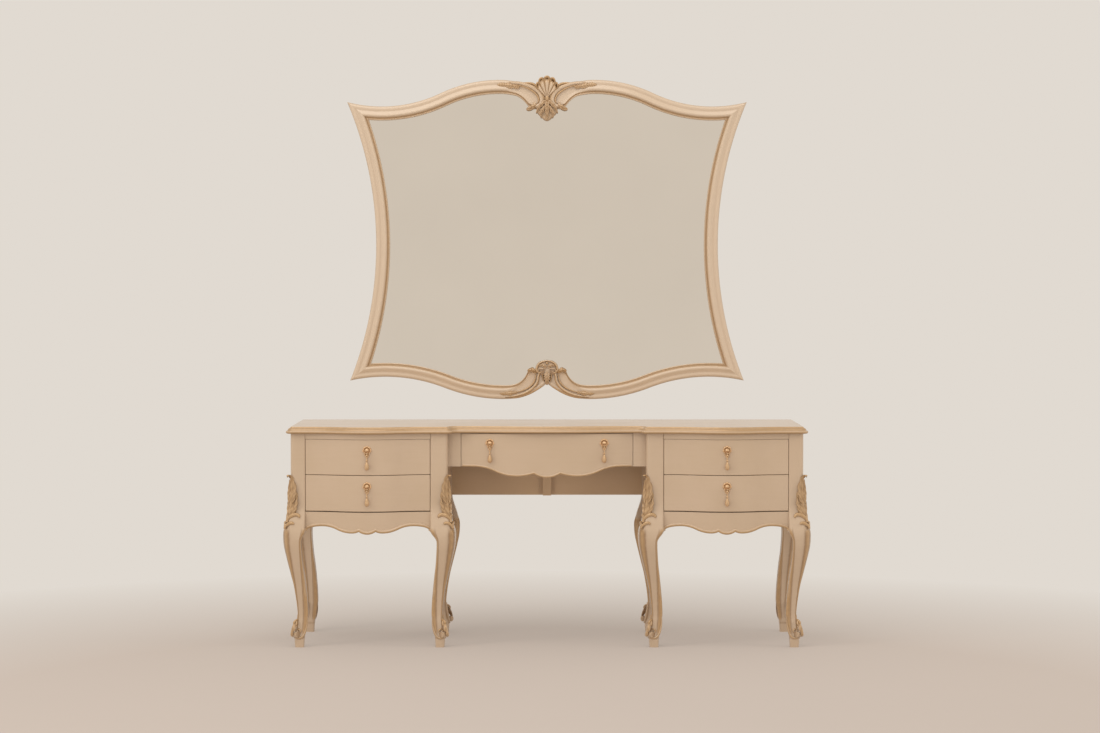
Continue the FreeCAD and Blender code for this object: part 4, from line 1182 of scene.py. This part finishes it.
def shell(centre, reach, spread, front, lobes=5, depth=9.0):
    """Fan shell: at angle a from its axis its edge is at reach (1 - k |a|^p), with round lobes.

    Each lobe is a ridge that broadens outwards and ends in a raised rim round a small cup.
    """
    r = np.linspace(0.06, 1, 48)[:, None]
    a = np.linspace(-spread, spread, 22 * lobes)[None, :]
    phase = lobes * (a + spread) / (2 * spread)
    rib = np.abs(np.sin(np.pi * phase))
    edge = reach * (1 - 0.32 * (np.abs(a) / spread) ** 2.2) * (0.90 + 0.10 * rib**0.6)
    distance = edge * r
    cup = bump(r, 0.84, 0.09) * smooth_step(rib, 0.45, 0.9)
    rim = bump(r, 0.96, 0.055)
    height = depth * (0.45 + 0.55 * np.sin(2.4 * r)) * (0.55 + 0.45 * rib**0.6) + 3.4 * rim - 3.8 * cup
    x = centre[0] + distance * np.sin(a)
    z = centre[1] + distance * np.cos(a)
    top = np.stack([x, front - height, z], -1)
    back = np.stack([x, 0 * x + front + 8.0, z], -1)
    loop = np.concatenate([top, back[:, ::-1]], axis=1)
    # darker between the ribs and in the cups: glazing that doubles as painted shade
    furrow = 0.85 * np.clip(0.62 - rib, 0, 1) / 0.62 + 0.6 * cup
    glaze_and_shade = np.concatenate([furrow, 0 * back[..., 0]], axis=1)
    gild_and_highlight = np.clip(0.22 + 0.8 * smooth_step(r, 0.66, 0.84) + 0.5 * (1 - rib), 0, 1)
    return grid(loop, np.concatenate([gild_and_highlight, gild_and_highlight[:, ::-1]], axis=1), glaze_and_shade, around=True, ends=True)


def boss(outline, front, rise, back, gild_and_highlight, edge=0.6, hollow=0.0):
    """Domed carving with a closed outline: rings shrink to its middle as the height rises.

    edge is the darkening round its outline and hollow the darkening all over it: brown glazing that
    doubles as painted shade.
    """
    outline = np.asarray(outline, float)
    middle = outline.mean(axis=0)
    r = np.concatenate([[1.0, 1.0], np.linspace(1, 0.03, 20)])[:, None, None]
    ring = middle + (outline - middle) * r
    height = rise * np.sqrt(np.clip(1 - r[..., 0] ** 2, 0, 1)) * (0.8 + 0.2 * r[..., 0])
    y = front - height + 0 * ring[..., 0]
    y[0] = back
    points = np.stack([ring[..., 0], y, ring[..., 1]], -1)
    glaze_and_shade = hollow + edge * bump(r[..., 0], 0.97, 0.08) + 0 * ring[..., 0]
    return grid(points, gild_and_highlight, glaze_and_shade, around=True, ends=True)


def wing(outer, inner, front, back):
    """Flat panel between two curves in the mirror's plane, with a solid edge."""
    count = 48
    a, b = smooth_path(outer, count), smooth_path(inner, count)
    t = np.linspace(0, 1, 12)
    plane = a[:, None] + (b - a)[:, None] * t[None, :, None]
    y = front + 0 * plane[..., 0]
    top = np.stack([plane[..., 0], y, plane[..., 1]], -1)
    low = top[:, ::-1].copy()
    low[..., 1] = back
    loop = np.concatenate([top, low], axis=1)
    # darker along both long edges, where the panel meets the scrolls: glazing that doubles as painted
    # shade
    glaze_and_shade = np.concatenate([0.30 * (bump(t, 0, 0.10) + bump(t, 1, 0.10)), 0 * t])
    return grid(loop, 0.0, glaze_and_shade, around=True, ends=True)


def in_plane(points, y, count):
    """Smooth path through (x, z) points at one y."""
    x, z = smooth_path(points, count).T
    return np.stack([x, y + 0 * x, z], 1)


def paired(surfaces):
    return surfaces + [mirrored(s) for s in surfaces]


def rim_path(i, inset, start, end, height, count):
    """Path on a rim arc at an inset, between two x positions, at a height off the frame's back."""
    (cx, cz), radius, bulge = RIM[i]
    r = radius - bulge * inset
    x = np.linspace(start, end, count)
    z = cz + (1 if i < 3 else -1) * bulge * np.sqrt(r**2 - (x - cx) ** 2)
    return np.stack([x, FRAME_BACK - height + 0 * x, z], 1)


def curl(points, y, width, height, gild_and_highlight=(0.15, 0.9), count=70, ends=(0.6, 0.5)):
    """Scroll through (x, z) points in the mirror's plane."""
    return strip(in_plane(points, y, count), FACING, taper(count, *ends) * width, height, gild_and_highlight)


def sprig(arc, inset, places, height):
    """Leaves set end to end along a rim arc: places are (start x, end x, half width)."""
    leaves = []
    for start, end, width in places:
        spine = rim_path(arc, inset, start, end, height, 6)
        leaves.append(leaf(spine, FACING, width, 4.6, lobes=4, count=44, gild_and_highlight=0.8))
    return leaves


def ellipse(across, up, x, z, below=None):
    """Outline round (x, z); below is its reach downwards where that differs."""
    turn = np.linspace(0, 2 * np.pi, 64, endpoint=False)
    down = up if below is None else below
    rise = np.where(np.sin(turn) > 0, up, down) * np.sin(turn)
    return np.stack([x + across * np.cos(turn), z + rise], 1)


def top_crest():
    """Fan shell between two C-scrolls that spring from the rail's edge, over a leafy drop."""
    face = CREST_FACE
    reach = bpy.context.scene.vanity_frame.shell
    made = [shell((0, 1916), reach, 0.84, face - 2)]
    scroll = [(128, 1970), (98, 1968), (68, 1960), (44, 1949), (27, 1934), (19, 1916)]
    scroll += [(20, 1900), (29, 1889), (41, 1887), (46, 1894), (39, 1899)]
    half = [curl(scroll, face + 1, 8.0, 8.0, (0.1, 0.55), 96, (0.7, 0.55))]
    line = [(112, 1962), (80, 1955), (54, 1942), (36, 1926), (29, 1908), (34, 1896)]
    half.append(curl(line, face + 1, 3.2, 5.5, (0.9, 0.9), 60))
    shoulder = [(86, 1969), (66, 1969), (50, 1966), (36, 1956), (22, 1940), (12, 1922), (9, 1908)]
    half.append(curl(shoulder, face + 2, 4.2, 6.0, (0.95, 0.95), 60))
    outer = [(96, 1967), (64, 1966), (40, 1958), (20, 1934), (12, 1910)]
    inner = [(96, 1950), (66, 1944), (44, 1932), (28, 1914), (24, 1896)]
    half.append(wing(outer, inner, face + 3, CREST_BACK))
    half += sprig(0, 18.0, ((98, 128, 9.0), (116, 156, 13.0), (146, 178, 9.5)), 33.0)
    tip = [(34, face - 1, 1892), (46, face - 5, 1887), (58, face - 6, 1882), (73, face - 3, 1877)]
    half.append(leaf(tip, FACING, 7.5, 6.0, lobes=3, count=36, gild_and_highlight=0.85))
    tail = [(40, 1883), (52, 1877), (64, 1873), (72, 1876), (67, 1881)]
    half.append(curl(tail, face, 2.8, 4.6, (0.8, 0.8), 44))
    ray = [(3, face - 6, 1908), (16, face - 9, 1896), (30, face - 7, 1880), (38, face - 2, 1862)]
    half.append(leaf(ray, FACING, 7.5, 6.0, lobes=4, count=48, gild_and_highlight=0.7))
    ray = [(3, face - 8, 1890), (13, face - 10, 1876), (22, face - 8, 1860), (20, face - 3, 1845)]
    half.append(leaf(ray, FACING, 7.0, 6.0, lobes=4, count=44, gild_and_highlight=0.7))
    made += paired(half)
    drop = ellipse(38.0, 26.0, 0, 1874, 40.0)
    drop[:, 0] *= 1 - 0.35 * smooth_step(1874 - drop[:, 1], 6, 36)
    made.append(boss(drop, face + 1, 5.0, CREST_BACK, 0.6))
    hang = [(0, face - 6, 1904), (0, face - 12, 1886), (0, face - 10, 1862), (0, face - 4, 1836)]
    made.append(leaf(hang, FACING, 9.0, 7.0, lobes=5, count=60, gild_and_highlight=0.75))
    made.append(boss(ellipse(7.0, 11.0, 0, 1914), face - 3, 8.0, face + 4, 0.9))
    return made


def bottom_crest():
    """Hooded boss with two dark patches, painted shadows that stand for deep hollows, over a hanging
    leaf, between scrolls along the rail.
    """
    face = CREST_FACE
    made = [boss(ellipse(38.0, 33.0, 0, 944, 24.0), face + 1, 7.0, CREST_BACK, 0.2)]
    brow = [(0, 975), (16, 972), (30, 963), (37, 949), (34, 937), (24, 933), (18, 939)]
    half = [curl(brow, face - 3, 4.2, 7.0, (0.5, 0.9), 56)]
    lid = [(3, face - 7, 950), (10, face - 10, 957), (19, face - 9, 960), (29, face - 5, 955)]
    half.append(leaf(lid, FACING, 7.0, 6.0, lobes=3, count=36, gild_and_highlight=0.6))
    fold = [(4, 951), (10, 948), (19, 947), (28, 946), (32, 938)]
    half.append(curl(fold, face - 6, 2.4, 6.0, (0.1, 0.4), 40))
    # nearly flat patch 9 mm proud, browned all over: a painted shadow where the hollow under the hood
    # falls
    shadow_patch = np.array([(10, 944), (15, 940), (25, 941), (26, 936), (20, 931), (13, 932), (9, 937)])
    half.append(boss(smooth_path(shadow_patch, 40)[:-1], face - 9.0, 0.8, face, 0.3, 0.6, 1.0))
    outer = [(26, 936), (31, 920), (34, 902), (44, 885), (62, 869), (88, 856), (120, 848), (150, 845)]
    half.append(curl(outer, face, 5.0, 6.5, (0.2, 0.9), 76, (0.8, 0.3)))
    inner = [(40, 928), (42, 910), (50, 894), (66, 879), (92, 867), (112, 862)]
    half.append(curl(inner, face + 1, 2.8, 5.0, (0.9, 0.9), 50))
    outer = [(22, 934), (17, 912), (16, 896), (30, 876), (56, 857)]
    inner = [(44, 930), (44, 908), (50, 892), (62, 880), (80, 868)]
    half.append(wing(outer, inner, face + 3, CREST_BACK))
    tip = [(36, face - 2, 932), (47, face - 6, 940), (58, face - 7, 943), (70, face - 4, 938)]
    half.append(leaf(tip, FACING, 8.5, 6.5, lobes=3, count=36, gild_and_highlight=1.0))
    half += sprig(6, 21.0, ((106, 132, 7.0), (120, 152, 10.5), (143, 170, 8.0)), 32.5)
    edge = rim_path(6, 4.0, 20, 150, 27, 60)
    half.append(strip(edge, FACING, taper(60, 0.6, 0.3) * 5.0, 6.0, (0.9, 0.9)))
    made += paired(half)
    hang = [(0, face - 4, 936), (0, face - 10, 922), (0, face - 8, 906), (0, face - 1, 888)]
    made.append(leaf(hang, FACING, 12.0, 7.0, lobes=5, count=56, gild_and_highlight=0.6))
    for side in (-1, 1):
        groove = [(side * 14, 934), (side * 15, 916), (side * 11, 900)]
        made.append(curl(groove, face - 1, 2.2, 5.0, (1.0, 1.0), 24))
    made.append(boss(ellipse(5.0, 4.5, 0, 967), face - 6, 5.0, face, 1.0))
    return made


class VANITY_OT_crests(bpy.types.Operator):
    """Carved shell over the mirror and carved boss under it"""

    bl_idname = "vanity.crests"
    bl_label = "Carved crests"

    def execute(self, context):
        for name, surfaces in (("top", top_crest()), ("bottom", bottom_crest())):
            name = f"mirror_{name}_crest"
            # pale=1.0 lays the paler paint on the carving: painted light, as on the frame
            painted(f"{name}_carved", surfaces, "mirror", [name], crease=50, pale=1.0)
        return {"FINISHED"}


# ---- Pieces whose CAD shape is kept -------------------------------------------------------
KNEEHOLE_SHADE_TONE = (1.08, 1.00, 0.84)  # painted shade: warmer, yellower paint on the rail and batten behind the knees, standing for warm light bounced into that shaded space


class VANITY_OT_kept_parts(bpy.types.Operator):
    """Finishes for the panels, drawer boxes, runners, boards, cleats and glass"""

    bl_idname = "vanity.kept_parts"
    bl_label = "Panels, boxes and glass"

    def execute(self, context):
        lining = bare_wood("Drawer lining wood", finish_and_shading().lining, (14, 1.5, 60))
        rough = bare_wood("Hanging cleat wood", np.array(finish_and_shading().lining) * 0.9)
        glass = silvered_glass()
        rubber = soft_bumper()
        # warmer copy of the paint for the kneehole's rail and batten: painted shade
        shaded = painted_wood("Kneehole shaded paint", KNEEHOLE_SHADE_TONE)
        for name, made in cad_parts.items():
            if "drawer_box" in name or "runners" in name:
                chosen = lining
            elif "cleat" in name or "backing" in name:
                chosen = rough
            elif name == "mirror_glass":
                chosen = glass
            elif name == "mirror_bumpers":
                chosen = rubber
            elif "pull" in name:
                chosen = metal()
            elif "centre_back" in name:
                chosen = shaded
            else:
                chosen = paint()
            if not made.material_slots:
                made.data.materials.append(chosen)
            for material_slot in made.material_slots:
                material_slot.material = chosen
        return {"FINISHED"}


# ---- Studio -------------------------------------------------------------------------------
BACKGROUND = (0.752, 0.700, 0.638)
WARM = (1.0, 0.97, 0.93)
BRIGHT = (0, -1.5, 0)  # the floor keeps most of its own colour round this point
FADE = (1.8, 3.7)  # metres from there over which it turns into the background


class VANITY_OT_studio(bpy.types.Operator):
    """Pale floor, soft light and the camera"""

    bl_idname = "vanity.studio"
    bl_label = "Studio"

    def execute(self, context):
        settings = context.scene.vanity_studio
        self.floor()
        self.world(context)
        self.light("Overhead", (-0.8, -2.4, 4.6), (0, 0.1, 0.6), 3.6, settings.key * 0.40)
        self.light("Left", (-5.2, -3.4, 3.0), (-0.2, 0, 0.8), 1.8, settings.key * 0.42)
        self.light("Right", (4.6, -1.2, 2.4), (0.2, 0, 0.8), 2.2, settings.key * 0.24)
        self.light("Front left", (-3.8, -7.5, 0.9), (0, 0, 0.6), 1.6, settings.key * 0.32)
        self.light("Front right", (3.8, -7.5, 0.9), (0, 0, 0.6), 1.6, settings.key * 0.24)
        camera = bpy.data.objects.new("Camera", bpy.data.cameras.new("Camera"))
        context.scene.collection.objects.link(camera)
        camera.data.lens, camera.data.sensor_width = settings.lens, 36.0
        camera.location = (0, -settings.distance, settings.height)
        camera.rotation_euler = (math.pi / 2 - math.radians(settings.tilt), 0, -0.00112)
        context.scene.camera = camera
        return {"FINISHED"}

    def floor(self):
        """Wide flat disc: painted near the table's front, where 0.3 of it already glows with the
        background's tone as painted light that lightens the table's shadow, and glowing as the
        background beyond.
        """
        radius = np.linspace(0.001, 60, 40)[:, None]
        turn = np.linspace(0, 2 * np.pi, 96, endpoint=False)[None, :]
        x, y = radius * np.cos(turn), radius * np.sin(turn)
        surface, faces, _ = grid(np.stack([x, y, 0 * x], -1)[::-1], around=True)
        mesh = bpy.data.meshes.new("Floor")
        mesh.from_pydata(surface.tolist(), [], faces)
        made = bpy.data.objects.new("Floor", mesh)
        bpy.context.scene.collection.objects.link(made)
        material, tree, shader = new_material("Studio floor")
        speck = noise(tree, 1.1, 3.0)
        place = node(tree, "ShaderNodeTexCoord")
        distance = node(tree, "ShaderNodeVectorMath", operation="DISTANCE")
        distance.inputs[1].default_value = BRIGHT
        tree.links.new(place.outputs["Object"], distance.inputs[0])
        # the glow share runs from 0.3 near the table to 1.0 far off; the near 0.3 is painted light that
        # lightens the shadow under the table
        far = band(tree, distance.outputs["Value"], *FADE, 0.3, 1.0)
        near = mix(tree, speck, (0.500, 0.418, 0.365), (0.515, 0.432, 0.378))
        tree.links.new(mix(tree, far, near, (0, 0, 0)), shader.inputs["Base Color"])
        tree.links.new(mix(tree, far, (0, 0, 0), BACKGROUND), shader.inputs["Emission Color"])
        shader.inputs["Emission Strength"].default_value = 1.0
        shader.inputs["Specular IOR Level"].default_value = 0.0
        tree.links.new(band(tree, speck, 0.3, 0.7, 0.8, 0.9), shader.inputs["Roughness"])
        mesh.materials.append(material)

    def world(self, context):
        world = bpy.data.worlds.new("Studio")
        context.scene.world = world
        world.use_nodes = True
        back = world.node_tree.nodes["Background"]
        back.inputs[0].default_value = (*BACKGROUND, 1)
        context.scene.view_settings.view_transform = "Standard"

    def light(self, name, place, aim, size, power):
        data = bpy.data.lights.new(name, "AREA")
        data.shape, data.size, data.energy, data.color = "SQUARE", size, power, WARM
        made = bpy.data.objects.new(name, data)
        bpy.context.scene.collection.objects.link(made)
        made.location = place
        towards = np.array(aim) - np.array(place)
        flat = math.hypot(towards[0], towards[1])
        made.rotation_euler = (math.atan2(flat, -towards[2]), 0, math.atan2(-towards[0], towards[1]))
        # the lower lights would show in the mirror as white squares
        made.visible_glossy = name == "Overhead"


class VANITY_PT_panel(bpy.types.Panel):
    """Lists the pieces and their settings"""

    bl_idname = "VANITY_PT_panel"
    bl_label = "Dressing table"
    bl_space_type = "VIEW_3D"
    bl_region_type = "UI"
    bl_category = "Dressing table"

    def draw(self, context):
        for name in SETTINGS:
            group = getattr(context.scene, name)
            for key in group.__annotations__:
                self.layout.prop(group, key)
        for step in STEPS:
            self.layout.operator(step.bl_idname)


SETTINGS = {
    "vanity_finish": FinishSettings,
    "vanity_frame": FrameSettings,
    "vanity_legs": LegSettings,
    "vanity_studio": StudioSettings,
}
STEPS = (
    VANITY_OT_studio,
    VANITY_OT_kept_parts,
    VANITY_OT_table_top,
    VANITY_OT_legs,
    VANITY_OT_case_fronts,
    VANITY_OT_drawer_fronts,
    VANITY_OT_pulls,
    VANITY_OT_mirror_frame,
    VANITY_OT_crests,
)
CLASSES = (*SETTINGS.values(), *STEPS, VANITY_PT_panel)


def register():
    for each in CLASSES:
        bpy.utils.register_class(each)
    for name, group in SETTINGS.items():
        setattr(bpy.types.Scene, name, bpy.props.PointerProperty(type=group))


def unregister():
    for name in SETTINGS:
        delattr(bpy.types.Scene, name)
    for each in reversed(CLASSES):
        bpy.utils.unregister_class(each)


def main():
    register()
    for step in STEPS:
        group, name = step.bl_idname.split(".")
        getattr(getattr(bpy.ops, group), name)()
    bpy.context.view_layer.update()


if __name__ == "__main__":
    main()
